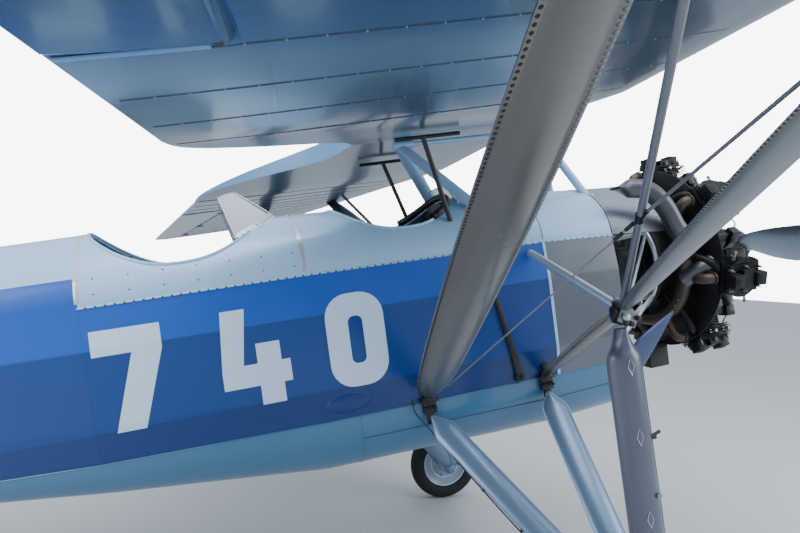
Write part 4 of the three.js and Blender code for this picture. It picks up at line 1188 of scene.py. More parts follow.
@dataclass(frozen=True)
class Opening:
    """A cockpit opening in the deck, a rounded rectangle seen from above."""

    centre: float
    half_length: float
    half_width: float

    def edge(self, angle: float, grow: float = 0.0) -> Vector:
        """Returns a point of the edge on the deck.

        Args:
            angle: The bearing from straight ahead, in radians.
            grow: How far outside the edge the point lies.

        Returns:
            The point on the deck's surface.
        """
        bulge = [math.copysign(abs(v) ** 0.8, v) for v in (math.cos(angle), math.sin(angle))]
        x = self.centre + (self.half_length + grow) * bulge[0]
        y = (self.half_width + grow) * bulge[1]
        return Vector((x, y, station(x).deck_height(y)))

    def line(self, first: float = 0.0, last: float = 360.0, steps: int = 64, grow: float = 0.0, lift: float = 0.0) -> Ring:
        """Returns the edge between two bearings in degrees, a little above the deck.

        Args:
            first: The first bearing.
            last: The last bearing.
            steps: How many parts it has.
            grow: How far outside the edge it runs.
            lift: How far above the deck it runs.

        Returns:
            The points.
        """
        turns = (math.radians(mix(first, last, i / steps)) for i in range(steps + 1))
        return [self.edge(turn, grow) + Vector((0, 0, lift)) for turn in turns]

    def cutter(self) -> Surface:
        """Returns the upright plug that cuts the opening."""
        foot = [Vector((p.x, p.y, 1.53)) for p in self.line()[:-1]]
        return Surface().slab(foot, Vector((0, 0, 0.5)))


REAR_OPENING = Opening(-1.470, 0.360, 0.325)
FRONT_OPENING = Opening(-0.515, 0.285, 0.304)


@dataclass
class Fuselage:
    """The hull sides, decks, belly and nose cowl, with their seams and rivets."""

    shop: Workshop
    finishes: Finishes
    skin: float = 0.012
    deck_steps: int = 56
    seat_gap: float = 0.0003

    def build(self) -> None:
        """Makes every piece of the fuselage."""
        self.sides()
        self.decks()
        self.belly()
        self.cowl()
        self.seams()

    def _trough(self, front: float, rear: float, inset: float, thick: float) -> Surface:
        """Skins the two sides and the floor between them as one open trough."""
        rings = []
        for x in places_between(front, rear, 0.12):
            row = station(x)
            outer = row.flank(inset, row.band + inset)
            inner = row.flank(inset + thick, row.band + inset + thick)
            rings.append([*outer, *reversed(inner)])
        return Surface().loft(rings)

    def sides(self) -> None:
        """Makes the blue hull sides, the cabin's lining and the bare tank bay."""
        finish = self.finishes
        tub = self._trough(STRIP_X - 0.0003, PANEL_AFT_X + 0.0003, 0.0, self.skin)
        self.shop.place("hull_sides", tub, finish.hull_blue, replaces=["cockpit_tub"], sharp=20)
        lining = self._trough(STRIP_X - 0.002, PANEL_AFT_X + 0.002, self.skin, WALL - self.skin)
        for x, way in ((STRIP_X - 0.002, -1), (PANEL_AFT_X + 0.002, 1)):
            row = station(x)
            bulkhead = row.flank(self.skin + 0.001)
            lining.slab(bulkhead, Vector((way * (WALL - 0.002), 0, 0)))
        self.shop.place("cabin_lining", lining, finish.cabin_green, sharp=20)
        bay = Surface().loft([station(x).flank() for x in places_between(FIREWALL_X, STRIP_X, 0.1)])
        # The tank bay sheet carries a darker painted reflection.
        self.shop.place("tank_bay_sides", bay, finish.bay_metal, replaces=["tank_bay"], sharp=20)
        strip = Surface()
        for side in Side:
            front, rear = ([on_side(p, side) for p in station(x).flank(-0.0022)[:10]] for x in (STRIP_X + 0.006, STRIP_X - 0.008))
            inner = [[on_side(p, side) for p in station(x).flank(0.002)[:10]] for x in (STRIP_X + 0.006, STRIP_X - 0.008)]
            strip.loft([front, rear, inner[1], inner[0], front], closed=False, caps=False)
        self.shop.place("tank_bay_strip", strip, finish.deck_silver, sharp=20)
        rings = []
        for x in places_between(PANEL_AFT_X, STERNPOST_X, 0.12):
            row = station(x)
            shoulders = [row.crown(math.pi * k / 64) for k in range(1, 9)]
            port = [Vector((p.x, p.y, p.z - self.seat_gap)) for p in shoulders]
            starboard = [Vector((p.x, -p.y, p.z)) for p in port]
            rings.append([*row.flank(), *starboard, *reversed(port)])
        rear = Surface().loft(rings)
        rear.block(Vector((-4.767, 0, 1.297)), (0.058, 0.020, 0.010))
        self.shop.place("hull_rear", rear, finish.hull_blue, replaces=["rear_fuselage"], sharp=24)

    def _deck(self, front: float, rear: float, first: int = 0, solid: bool = False) -> Surface:
        """Skins a stretch of rounded deck, as a thin shell or down to its chord."""
        rings = []
        for x in places_between(front, rear, 0.05 if not solid else 0.1):
            row = station(x)
            turns = [math.pi * k / self.deck_steps for k in range(first, self.deck_steps - first + 1)]
            outer = [row.crown(turn) for turn in turns]
            inner = [] if solid else [row.crown(turn, self.skin) for turn in reversed(turns)]
            rings.append([Vector((p.x, p.y, p.z + self.seat_gap)) for p in (*outer, *inner)])
        return Surface().loft(rings)

    def decks(self) -> None:
        """Makes the four stretches of deck, two of them with a cockpit opening."""
        gap = self.seat_gap
        silver = self.finishes.deck_silver
        rear = self.shop.carve("deck_rear", self._deck(DECK_JOINT_X - gap, PANEL_AFT_X + gap), [REAR_OPENING.cutter()])
        self.shop.place("deck_rear", rear, silver, replaces=["rear_decking"])
        front = self.shop.carve("deck_front", self._deck(STRIP_X - gap, DECK_JOINT_X + gap), [FRONT_OPENING.cutter()])
        self.shop.place("deck_front", front, silver, replaces=["front_decking"])
        tank = self._deck(FIREWALL_X, STRIP_X + gap, solid=True)
        self.shop.place("deck_tank", tank, silver, replaces=["tank_decking"])
        spine = self._deck(PANEL_AFT_X, STERNPOST_X, first=7, solid=True)
        self.shop.place("deck_spine", spine, silver, replaces=["turtledeck"])

    def belly(self) -> None:
        """Makes the two stretches of rounded belly."""
        for name, front, rear, node in (
            ("belly_fore", FIREWALL_X, BELLY_SEAM_X + 0.0003, "belly_front"),
            ("belly_aft", BELLY_SEAM_X, STERNPOST_X, "belly_rear"),
        ):
            rings = [station(x).keel(self.seat_gap) for x in places_between(front, rear, 0.12)]
            self.shop.place(name, Surface().loft(rings), self.finishes.belly_blue, replaces=[node])

    @staticmethod
    def nose_point(x: float, turn: float, inset: float = 0.0) -> Vector:
        """Returns a point of the nose, which runs from the firewall's section to a circle.

        Args:
            x: The place along it.
            turn: The bearing in radians from port level.
            inset: How far inside the skin the point lies.

        Returns:
            The point.
        """
        fore, radius = 0.840, 0.426
        row = STATION_ROWS[0]
        t = (x - FIREWALL_X) / (fore - FIREWALL_X)
        wide = math.cos(turn)
        if math.sin(turn) >= 0:
            base = row.crown(turn)
        else:
            wide = fuller(wide)
            base = Vector((row.x, row.band_half * wide, row.band + (row.band - row.belly) * math.sin(turn)))
        y = mix(base.y, radius * wide, t)
        z = mix(base.z, THRUST_Z + radius * math.sin(turn), t) - THRUST_Z
        shrink = 1 - inset / math.hypot(y, z)
        return Vector((x, y * shrink, z * shrink + THRUST_Z))

    @staticmethod
    def raked_edge(x: float) -> Vector:
        """Returns a point on the port skin of the lower cowl just behind its raked front edge."""
        (x0, z0), (x1, z1) = CHIN_OPENING[:2]
        height = mix(z0, z1, (x - x0) / (x1 - x0)) + .024
        low, high = -math.pi / 2, 0.0
        for _ in range(24):
            middle = (low + high) / 2
            if Fuselage.nose_point(x, middle).z < height:
                low = middle
            else:
                high = middle
        return Fuselage.nose_point(x, low, -.0004)

    def cowl(self) -> None:
        """Makes the upper and lower nose cowls, open in front; the lower cowl wears a darker copy of the sheet as
        painted shade.
        """
        start = FIREWALL_X + self.seat_gap
        cut = Surface().slab([Vector((x, -.6, z)) for x, z in CHIN_OPENING], Vector((0, 1.2, 0)))
        finishes = self.finishes
        for name, node, cutters, finish, rows in (
            ("cowl_upper", "nose_cowl_top", [], finishes.cowl_metal, ((start, 2, 178), (.640, 13, 167), (.785, 21, 159))),
            # The lower cowl takes the painted shade sheet.
            ("cowl_under", "nose_cowl_lower", [cut], finishes.cowl_shade, ((start, -178, -2), (.560, -178, -2), (.785, -156, -24))),
        ):
            rings = []
            for (x0, a0, b0), (x1, a1, b1) in zip(rows, rows[1:]):
                for step in range(9):
                    t = step / 8
                    x, a, b = mix(x0, x1, t), mix(a0, a1, t), mix(b0, b1, t)
                    turns = [math.radians(mix(a, b, k / 48)) for k in range(49)]
                    outer = [self.nose_point(x, turn) for turn in turns]
                    inner = [self.nose_point(x, turn, 0.012) for turn in reversed(turns)]
                    if not rings or step:
                        rings.append([*outer, *inner])
            shape = self.shop.carve(name, Surface().loft(rings), cutters)
            self.shop.place(name, shape, finish, replaces=[node])

    def seams(self) -> None:
        """Lays the rivet rows, the long hinges and the lapped seams over the skins."""
        hoops = []
        for x in (PANEL_AFT_X + 0.012, DECK_JOINT_X - 0.010, DECK_JOINT_X + 0.012, STRIP_X - 0.014, STRIP_X + 0.020, FIREWALL_X - 0.014):
            hoops.append([station(x).crown(math.pi * k / 60) + Vector((0, 0, 0.0005)) for k in range(2, 59)])
        rims = [opening.line(grow=0.018, lift=0.0006) for opening in (REAR_OPENING, FRONT_OPENING)]
        sills = []
        for side in Side:
            spots = places_between(FIREWALL_X - 0.02, PANEL_AFT_X + 0.02, 0.06)
            sills.append([on_side((x, station(x).sill_half, station(x).sill + 0.016), side) for x in spots])
            for x in (-.190, -.212, -.330, -.480, -.700):
                hoops.append([on_side(station(x).crown(math.radians(k)), side) for k in range(4, 26, 3)])
        self.shop.along("deck_rivets", LineTree.HEADS, [*hoops, *rims, *sills], {"Spacing": 0.026, "Head Radius": 0.0026}, self.finishes.deck_silver)
        joint = [station(STRIP_X).crown(math.pi * k / 60) for k in range(1, 60)]
        self.shop.along("deck_joint", LineTree.BEAD, [joint], {"Bead Radius": 0.0020}, self.finishes.seam_dark)
        laps = Surface()
        for x in (PANEL_AFT_X, DECK_JOINT_X):
            hoop = [[station(x + shift).crown(math.pi * k / 60) + Vector((0, 0, lift)) for k in range(1, 60)]
                    for shift, lift in ((-.009, 0), (-.008, .0018), (.008, .0018), (.009, 0))]
            laps.loft(hoop, closed=False, caps=False)
        self.shop.place("deck_laps", laps, self.finishes.bright_tube)
        screws = [[station(x).crown(math.radians(turn)) for x in (PANEL_AFT_X + .06, -1.42, -1.03)] for turn in (9, 21, 159, 171)]
        self.shop.along("deck_screws", LineTree.HEADS, screws, {"Spacing": 0.11, "Head Radius": 0.0034}, self.finishes.seam_dark)
        hinges = []
        for side in Side:
            spots = places_between(FIREWALL_X - 0.01, PANEL_AFT_X + 0.01, 0.1)
            hinges.append([on_side((x, station(x).sill_half + 0.002, station(x).sill), side) for x in spots])
        self.shop.along("sill_seams", LineTree.BEAD, hinges, {"Bead Radius": 0.0026}, self.finishes.seam_dark)
        self.shop.along("sill_hinges", LineTree.KNUCKLES, hinges, {
            "Spacing": 0.034, "Barrel Length": 0.026, "Barrel Radius": 0.0040}, self.finishes.deck_silver)
        lips = [opening.line(lift=0.001) for opening in (REAR_OPENING, FRONT_OPENING)]
        self.shop.along("cockpit_lips", LineTree.BEAD, lips, {"Bead Radius": 0.0065}, self.finishes.deck_silver)
        bands = []
        for side in Side:
            spots = places_between(FIREWALL_X - 0.02, STERNPOST_X + 0.05, 0.12)
            bands.append([on_side((x, station(x).band_half + 0.001, station(x).band), side) for x in spots])
        self.shop.along("band_lap", LineTree.BEAD, bands, {"Bead Radius": 0.0028}, self.finishes.belly_blue)
        rows = [[p + Vector((0, .0012 * math.copysign(1, p.y), -.004)) for p in band] for band in bands]
        rows.append(station(BELLY_SEAM_X + .018).keel())
        self.shop.along("belly_rivets", LineTree.HEADS, rows, {"Spacing": 0.034, "Head Radius": 0.0024}, self.finishes.belly_blue)
        keels = [[p + Vector((0, 0, -0.001)) for p in station(BELLY_SEAM_X).keel()]]
        self.shop.along("belly_lap", LineTree.BEAD, keels, {"Bead Radius": 0.0025}, self.finishes.belly_blue)


# Wings


@dataclass
class Wings:
    """Both half wings with their ailerons, rib seams and hinge brackets."""

    shop: Workshop
    finishes: Finishes
    cutout: tuple = (
        (-.640, 0), (-.700, .170), (-.770, .255), (-.860, .325), (-.970, .395), (-1.100, .475), (-1.200, .550),
        (-1.300, .640), (-1.372, .740), (-1.408, .850), (-1.424, .960),
    )
    rib_pitch: float = 0.267
    first_rib: float = 0.895
    rib_skew: float = 0.126
    nose_radius: float = 0.036

    def build(self) -> None:
        """Makes both sides."""
        for side in Side:
            self.wing(side)
            self.aileron(side)
            self.seams(side)

    def _slab(self, inner: float, outer: float, ahead: float, side: Side) -> Surface:
        """Returns the block behind the hinge line that clears the aileron's bay."""
        corners = [(WING.hinge(inner).x + ahead, inner), (WING.hinge(outer).x + ahead, outer),
                   (WING.hinge(outer).x - 0.8, outer), (WING.hinge(inner).x - 0.8, inner)]
        return Surface().slab([on_side((x, y, 1.7), side) for x, y in corners], Vector((0, 0, 0.8)))

    def wing(self, side: Side) -> None:
        """Makes one half wing.

        Args:
            side: Which one.
        """
        spans = [0.00015, *(self.rib_pitch * k for k in range(1, 19) if self.rib_pitch * k < 5.2), 0.95]
        rows = [(y, 1.0) for y in sorted(spans)] + list(WING.tip)
        body = Surface().loft([[on_side(p, side) for p in WING.section(y, scale)] for y, scale in rows])
        edge = arc_path([(x, y, 1.8) for x, y in self.cutout], 4)
        outline = [Vector((-.640, -.04, 1.8)), *edge, Vector((-1.7, .96, 1.8)), Vector((-1.7, -.04, 1.8))]
        notch = Surface().slab([on_side(p, side) for p in outline], Vector((0, 0, 0.6)))
        bay = self._slab(WING.aileron_inner - 0.010, WING.aileron_outer + 0.010, self.nose_radius + 0.006, side)
        mesh = self.shop.carve(f"wing_skin_{side.word}", body, [notch, bay])
        piece = self.shop.place(f"wing_skin_{side.word}", mesh, self.finishes.wing_skin, replaces=[f"wing_{side.word}"], sharp=28)
        self._paint_top(piece)

    def _paint_top(self, piece: bpy.types.Object) -> None:
        """Gives the faces that look up or sideways the paler top enamel.

        Args:
            piece: A wing or aileron piece.
        """
        piece.data.materials.append(self.finishes.wing_top.material())
        for face in piece.data.polygons:
            face.material_index = int(face.normal.z > -0.35)

    def aileron(self, side: Side) -> None:
        """Makes one aileron, with a round nose on its hinge line.

        Args:
            side: Which one.
        """
        tail = WING.chord - WING.hinge_chord
        rings = []
        for y in (WING.aileron_inner, *(WING.aileron_inner + 0.2 + 0.32 * k for k in range(10)), WING.aileron_outer):
            axis = WING.hinge(y)
            under = WING.axis_lift
            nose = [(math.cos(turn) * self.nose_radius, math.sin(turn) * self.nose_radius)
                    for turn in (math.radians(88 - 176 * k / 12) for k in range(13))]
            lower = [(-tail * t, -under - (self.nose_radius - under) * (1 - t) - tail * t * math.tan(WING.incidence)) for t in (0.3, 0.6, 1)]
            upper = [(-tail * t, mix(self.nose_radius, 0.0097 - under, t) - tail * t * math.tan(WING.incidence)) for t in (1, 0.6, 0.3)]
            rings.append([on_side((axis.x + u, y, axis.z + v), side) for u, v in (*nose, *lower, *upper)])
        piece = self.shop.place(
            f"aileron_skin_{side.word}", Surface().loft(rings), self.finishes.wing_skin, body=f"aileron_{side.word}",
            replaces=[f"aileron_{side.word}"])
        self._paint_top(piece)
        axis = Surface()
        for share in (0.08, 0.5, 0.92):
            y = mix(WING.aileron_inner, WING.aileron_outer, share)
            spot = on_side(WING.hinge(y), side)
            axis.block(spot + Vector((0.045, 0, -0.030)), (0.075, 0.012, 0.022))
        self.shop.place(f"aileron_brackets_{side.word}", axis, self.finishes.bolt_steel)

    @staticmethod
    def _share(y: float) -> float:
        """Returns the chord's share of the full chord at a span station."""
        rows = ((0, 1), *WING.tip)
        for (y0, s0), (y1, s1) in zip(rows, rows[1:]):
            if y <= y1:
                return mix(s0, s1, (y - y0) / (y1 - y0))
        return rows[-1][1]

    def seams(self, side: Side) -> None:
        """Lays the rib seams on the underside and the top, a pale strip at the aileron bay's inner end as painted
        highlight, and the bay's stop.

        Args:
            side: Which side.
        """
        under, over = [], []
        foot = self.first_rib
        while foot < 5.6:
            inside = WING.aileron_inner < foot < WING.aileron_outer
            for top, rows in ((False, under), (True, over)):
                line = []
                for k in range(31):
                    part = mix(0.03, 0.795 if inside else 0.985, k / 30)
                    y = foot + WING.chord * (1 - part) * self.rib_skew
                    scale = self._share(y)
                    spot = WING.point(y, WING.chord * (scale * part + (1 - scale) * 0.45))
                    high = WING.tall(y) * scale * WING.height(part, top) + (0.0006 if top else -0.0004)
                    line.append(on_side((spot.x, y, spot.z + high), side))
                rows.append(line)
            foot += self.rib_pitch
        self.shop.along(f"wing_rib_laps_{side.word}", LineTree.BEAD, [*under, *over], {"Bead Radius": 0.0016}, self.finishes.seam_dark)
        self.shop.along(f"wing_rib_rivets_{side.word}", LineTree.HEADS, under, {"Spacing": 0.075, "Head Radius": 0.0026}, self.finishes.wing_top)
        # A pale strip in the top enamel on the underside at the bay's inner end: painted highlight of the sky-lit end
        # face.
        painted_highlight_strip, stop = Surface(), Surface()
        corners = [on_side(WING.point(WING.aileron_inner + y, aft, -.0004), side)
                   for y, aft in ((.004, 1.400), (-.014, 1.400), (-.036, 1.665), (-.018, 1.665))]
        painted_highlight_strip.slab(corners, Vector((0, 0, -.003)))
        self.shop.place(f"aileron_bay_lip_{side.word}", painted_highlight_strip, self.finishes.wing_top)
        stop.block(on_side(WING.point(WING.aileron_inner + .004, 1.392, .010), side), (.030, .018, .024))
        self.shop.place(f"aileron_bay_stop_{side.word}", stop, self.finishes.pipe_burnt)


# Struts, cabane and landing gear


@dataclass
class Bracing:
    """The wing struts, cabane, pyramids and bracing wires."""

    shop: Workshop
    finishes: Finishes
    foot_rear: Vector = field(default_factory=lambda: Vector((-0.536, 0.380, 0.880)))
    foot_middle: Vector = field(default_factory=lambda: Vector((0.041, 0.380, 0.875)))
    foot_upper: Vector = field(default_factory=lambda: Vector((0.036, 0.375, 1.480)))
    apex: Vector = field(default_factory=lambda: Vector((0.035, 1.000, 1.262)))
    axle_end: Vector = field(default_factory=lambda: Vector((0, 1.074, 0)))
    spread: float = 0.040
    front_top: Vector = field(default_factory=lambda: WING.point(2.600, .310, .030))
    rear_top: Vector = field(default_factory=lambda: WING.point(2.600, .915, .030))
    jury_top: Vector = field(default_factory=lambda: WING.point(1.880, .460, .030))
    wire_low: Vector = field(default_factory=lambda: Vector((-0.460, 0.420, 0.960)))
    wire_high: Vector = field(default_factory=lambda: WING.point(2.600, .310))
    clamp_share: float = 0.410

    def build(self) -> None:
        """Makes the bracing of both sides and the cabane between."""
        for side in Side:
            self.wing_struts(side)
            self.pyramid(side)
            self.wire(side)
            self.legs(side)
            self.aileron_rod(side)
        self.cabane()

    def _raised(self, point: Vector, lift: float, side: Side) -> Vector:
        """Lifts a port-side point and carries it to the given side."""
        return on_side((point.x, point.y, point.z + lift), side)

    def wing_struts(self, side: Side) -> None:
        """Makes the two wide wing struts, their riveted edges with black heads as painted shade in the crimps, and the
        thin jury strut.

        Args:
            side: Which side.
        """
        apex = on_side(self.apex, side)
        lift = Vector((0, 0, -0.004))
        front_top = on_side(self.front_top, side) + lift
        rear_top = on_side(self.rear_top, side) + lift
        foot = self._raised(self.foot_rear, self.spread, side)
        front, rear = Surface(), Surface()
        start = apex + (front_top - apex).normalized() * 0.046
        edges = strut(front, start, front_top, 0.148, 0.046, FORE_PLAN)
        jury_top = on_side(self.jury_top, side)
        jury = Surface().tube([apex + (jury_top - apex).normalized() * 0.046, jury_top], 0.012)
        self.shop.place(f"jury_strut_{side.word}", jury, self.finishes.wire_grey)
        outside = foot + (rear_top - foot).normalized() * 0.060
        more = strut(rear, outside, rear_top, 0.168, 0.048, AFT_PLAN, flange=0.012)
        self.shop.place(f"wing_strut_fore_{side.word}", front, self.finishes.strut_metal, replaces=[f"wing_strut_front_{side.word}"])
        self.shop.place(f"wing_strut_aft_{side.word}", rear, self.finishes.strut_warm, replaces=[f"wing_strut_rear_{side.word}"])
        for name, lines, spacing, radius, finish in (
            ("strut_rivets", edges[:1], .0098, .0024, self.finishes.bolt_steel),
            ("strut_crimps", more[:1], .0125, .0046, self.finishes.strut_metal),
            # Black heads along the other edges: painted shade in the crimp hollows.
            ("strut_ticks", (edges[1], more[1]), .0130, .0040, self.finishes.trim_black),
        ):
            self.shop.along(f"{name}_{side.word}", LineTree.HEADS, lines, {"Spacing": spacing, "Head Radius": radius}, finish)

    def pyramid(self, side: Side) -> None:
        """Makes the strut pyramid's upper tube, lower strut and apex fitting.

        Args:
            side: Which side.
        """
        apex = on_side(self.apex, side)
        upper = on_side(self.foot_upper, side)
        lower = self._raised(self.foot_middle, self.spread, side)
        tube, faired = Surface(), Surface()
        tube.tube([upper + (apex - upper).normalized() * 0.004, apex], [0.019, 0.022], 20)
        self.shop.place(f"pyramid_tube_{side.word}", tube, self.finishes.bright_tube, replaces=[f"pyramid_{side.word}"])
        edges = strut(faired, lower + (apex - lower).normalized() * 0.008, apex, 0.105, 0.034)
        self.shop.place(f"pyramid_strut_{side.word}", faired, self.finishes.strut_warm)
        self.shop.along(f"pyramid_rivets_{side.word}", LineTree.HEADS, edges, {
            "Spacing": 0.0125, "Head Radius": 0.0024}, self.finishes.bolt_steel)
        joint = Surface()
        axis = Vector((1, 0, 0))
        joint.lathe([(-0.040, 0), (-0.040, 0.016), (-0.030, 0.024), (0.030, 0.024), (0.040, 0.016), (0.040, 0)], apex, axis, 20)
        joint.lathe([(-0.034, 0), (-0.034, 0.030), (0.034, 0.030), (0.034, 0)], apex, Vector((0, 0, 1)), 16)
        for turn in range(3):
            angle = 2 * math.pi * turn / 3
            joint.lathe([(0.02, 0), (0.02, 0.011), (0.041, 0.011), (0.041, 0)], apex, Vector((math.cos(angle), 0, math.sin(angle))), 6)
        plates = Surface()
        for shift in (-.030, .030):
            plates.block(apex + Vector((.012, shift, -.010)), (.078, .006, .092), Matrix.Rotation(.5, 3, "Y"))
            plates.block(apex + Vector((.040, shift, .020)), (.050, .006, .040), Matrix.Rotation(-.6, 3, "Y"))
        self.shop.place(f"pyramid_plates_{side.word}", plates, self.finishes.strut_metal, bevel=0.002)
        for u, w in ((.046, .020), (-.012, -.040), (.040, -.034), (.010, -.050)):
            joint.lathe([(-.044, 0), (-.044, .011), (.044, .011), (.044, 0)], apex + Vector((u, 0, w)), Vector((0, 1, 0)), 6)
        ball = Surface().lathe([(-.014, 0), (-.010, .010), (0, .014), (.010, .010), (.014, 0)], apex + Vector((-.016, side.value * .048, -.02)), Vector((0, 1, 0)), 16)
        self.shop.place(f"pyramid_ball_{side.word}", ball, self.finishes.bright_tube)
        self.shop.place(f"pyramid_joint_{side.word}", joint, self.finishes.trim_black, bevel=0.0015)

    def wire(self, side: Side) -> None:
        """Makes the bracing wire, with the clamp where it crosses the jury strut.

        Args:
            side: Which side.
        """
        near, far = on_side(self.wire_low, side), on_side(self.wire_high, side)
        apex, top = on_side(self.apex, side), on_side(self.jury_top, side)
        cross = apex.lerp(top, self.clamp_share)
        wires = Surface().tube([near, cross], 0.0030, 16).tube([cross, far], 0.0050, 16)
        self.shop.place(f"bracing_wire_{side.word}", wires, self.finishes.wire_grey)
        clamp = Surface()
        clamp.lathe([(-.015, 0), (-.015, .0150), (.015, .0150), (.015, 0)], cross, top - apex, 16)
        for end, reach in ((near, .060), (far, .050), (near, .110)):
            way = (end - cross).normalized()
            clamp.lathe([(0, 0), (.006, .0068), (.040, .0068), (.046, 0)], cross + way * (reach - .040), way, 8)
        self.shop.place(f"wire_clamp_{side.word}", clamp, self.finishes.trim_black)

    def legs(self, side: Side) -> None:
        """Makes the landing gear legs, the shock leg and the axle.

        Args:
            side: Which side.
        """
        axle = on_side(self.axle_end, side)
        apex = on_side(self.apex, side)
        legs = Surface()
        for foot, chord in ((self.foot_rear, 0.118), (self.foot_middle, 0.128)):
            top = self._raised(foot, -self.spread, side)
            strut(legs, top + (axle - top).normalized() * 0.004, axle, chord, 0.042, LEG_PLAN, flange=0.003, bends=1, least=0.3)
        way = (apex - axle).normalized()
        legs.lathe([(-0.044, 0), (-0.040, 0.020), (-0.020, 0.038), (0.0, 0.044), (0.020, 0.038), (0.040, 0.020), (0.044, 0)], axle, Vector((0, 1, 0)), 24)
        legs.tube([axle, axle + way * 0.150], 0.023, 20)
        hub = Vector((0, 1, 0)) * side.value
        legs.tube([axle, Vector((0, side.value * 1.272, 0))], 0.020, 20)
        legs.lathe([(1.258, 0), (1.258, 0.034), (1.272, 0.034), (1.272, 0)], Vector((0, 0, 0)), hub, 20)
        self.shop.place(f"gear_struts_{side.word}", legs, self.finishes.gear_silver, replaces=[f"gear_legs_{side.word}"])
        shock = Surface()
        set_back = Vector((-.016, 0, 0))
        top = apex + (axle - apex).normalized() * 0.066 + set_back
        foot = axle + way * 0.1503 + set_back * .4
        edges = strut(shock, top, foot, 0.146, 0.074, SHOCK_PLAN)
        self.shop.place(f"shock_strut_{side.word}", shock, self.finishes.shock_grey, replaces=[f"shock_leg_{side.word}"])
        self.shop.along(f"shock_rivets_{side.word}", LineTree.HEADS, edges, {"Spacing": 0.030, "Head Radius": 0.0028}, self.finishes.seam_dark)

    def aileron_rod(self, side: Side) -> None:
        """Makes the black push rod and lever that work the aileron.

        Args:
            side: Which side.
        """
        rod = Surface()
        base = on_side((-0.300, 0.300, station(-0.300).deck_height(0.300) + 0.001), side)
        top = on_side((-0.400, 0.350, 2.052), side)
        rod.tube([base, top], 0.011, 16)
        rod.tube([on_side((-0.530, 0.352, 2.046), side), on_side((-0.225, 0.348, 2.055), side)], 0.009, 12)
        self.shop.place(f"aileron_push_rod_{side.word}", rod, self.finishes.trim_black, replaces=[f"aileron_rod_{side.word}"])

    def cabane(self) -> None:
        """Makes the two inverted vees that carry the wing over the deck."""
        rear, front = Surface(), Surface()
        apex = Vector((-0.403, 0, 2.078))
        for side in Side:
            foot = on_side((-0.100, 0.300, 1.660), side)
            strut(rear, apex, foot, 0.062, 0.030, FULL_PLAN, flange=0.002)
            front_foot = on_side((0.516, 0.175, 1.690), side)
            front.tube([Vector((0.355, 0, 2.104)), front_foot], 0.021, 20)
            front.lathe([(0, 0), (0, .040), (.008, .040), (.010, .028), (.030, .026), (.030, 0)], front_foot, Vector((-.1, 0, 1)), 20)
        rear.tube([apex + Vector((-0.03, 0, 0)), apex + Vector((0.07, 0, 0.001))], 0.022, 20)
        rear.tube([apex, Vector((0.320, 0, 2.090))], 0.013, 16)
        front.tube([Vector((0.322, 0, 2.092)), Vector((0.385, 0, 2.093))], 0.024, 20)
        self.shop.place("cabane_aft", rear, self.finishes.deck_silver, replaces=["cabane_rear"])
        self.shop.place("cabane_fore", front, self.finishes.deck_silver, replaces=["cabane_front"])


# Engine and propeller


def on_bearing(turn: float, radius: float, x: float) -> Vector:
    """Returns a point about the thrust line; the bearing runs from straight up towards port."""
    return Vector((x, radius * math.sin(turn), THRUST_Z + radius * math.cos(turn)))


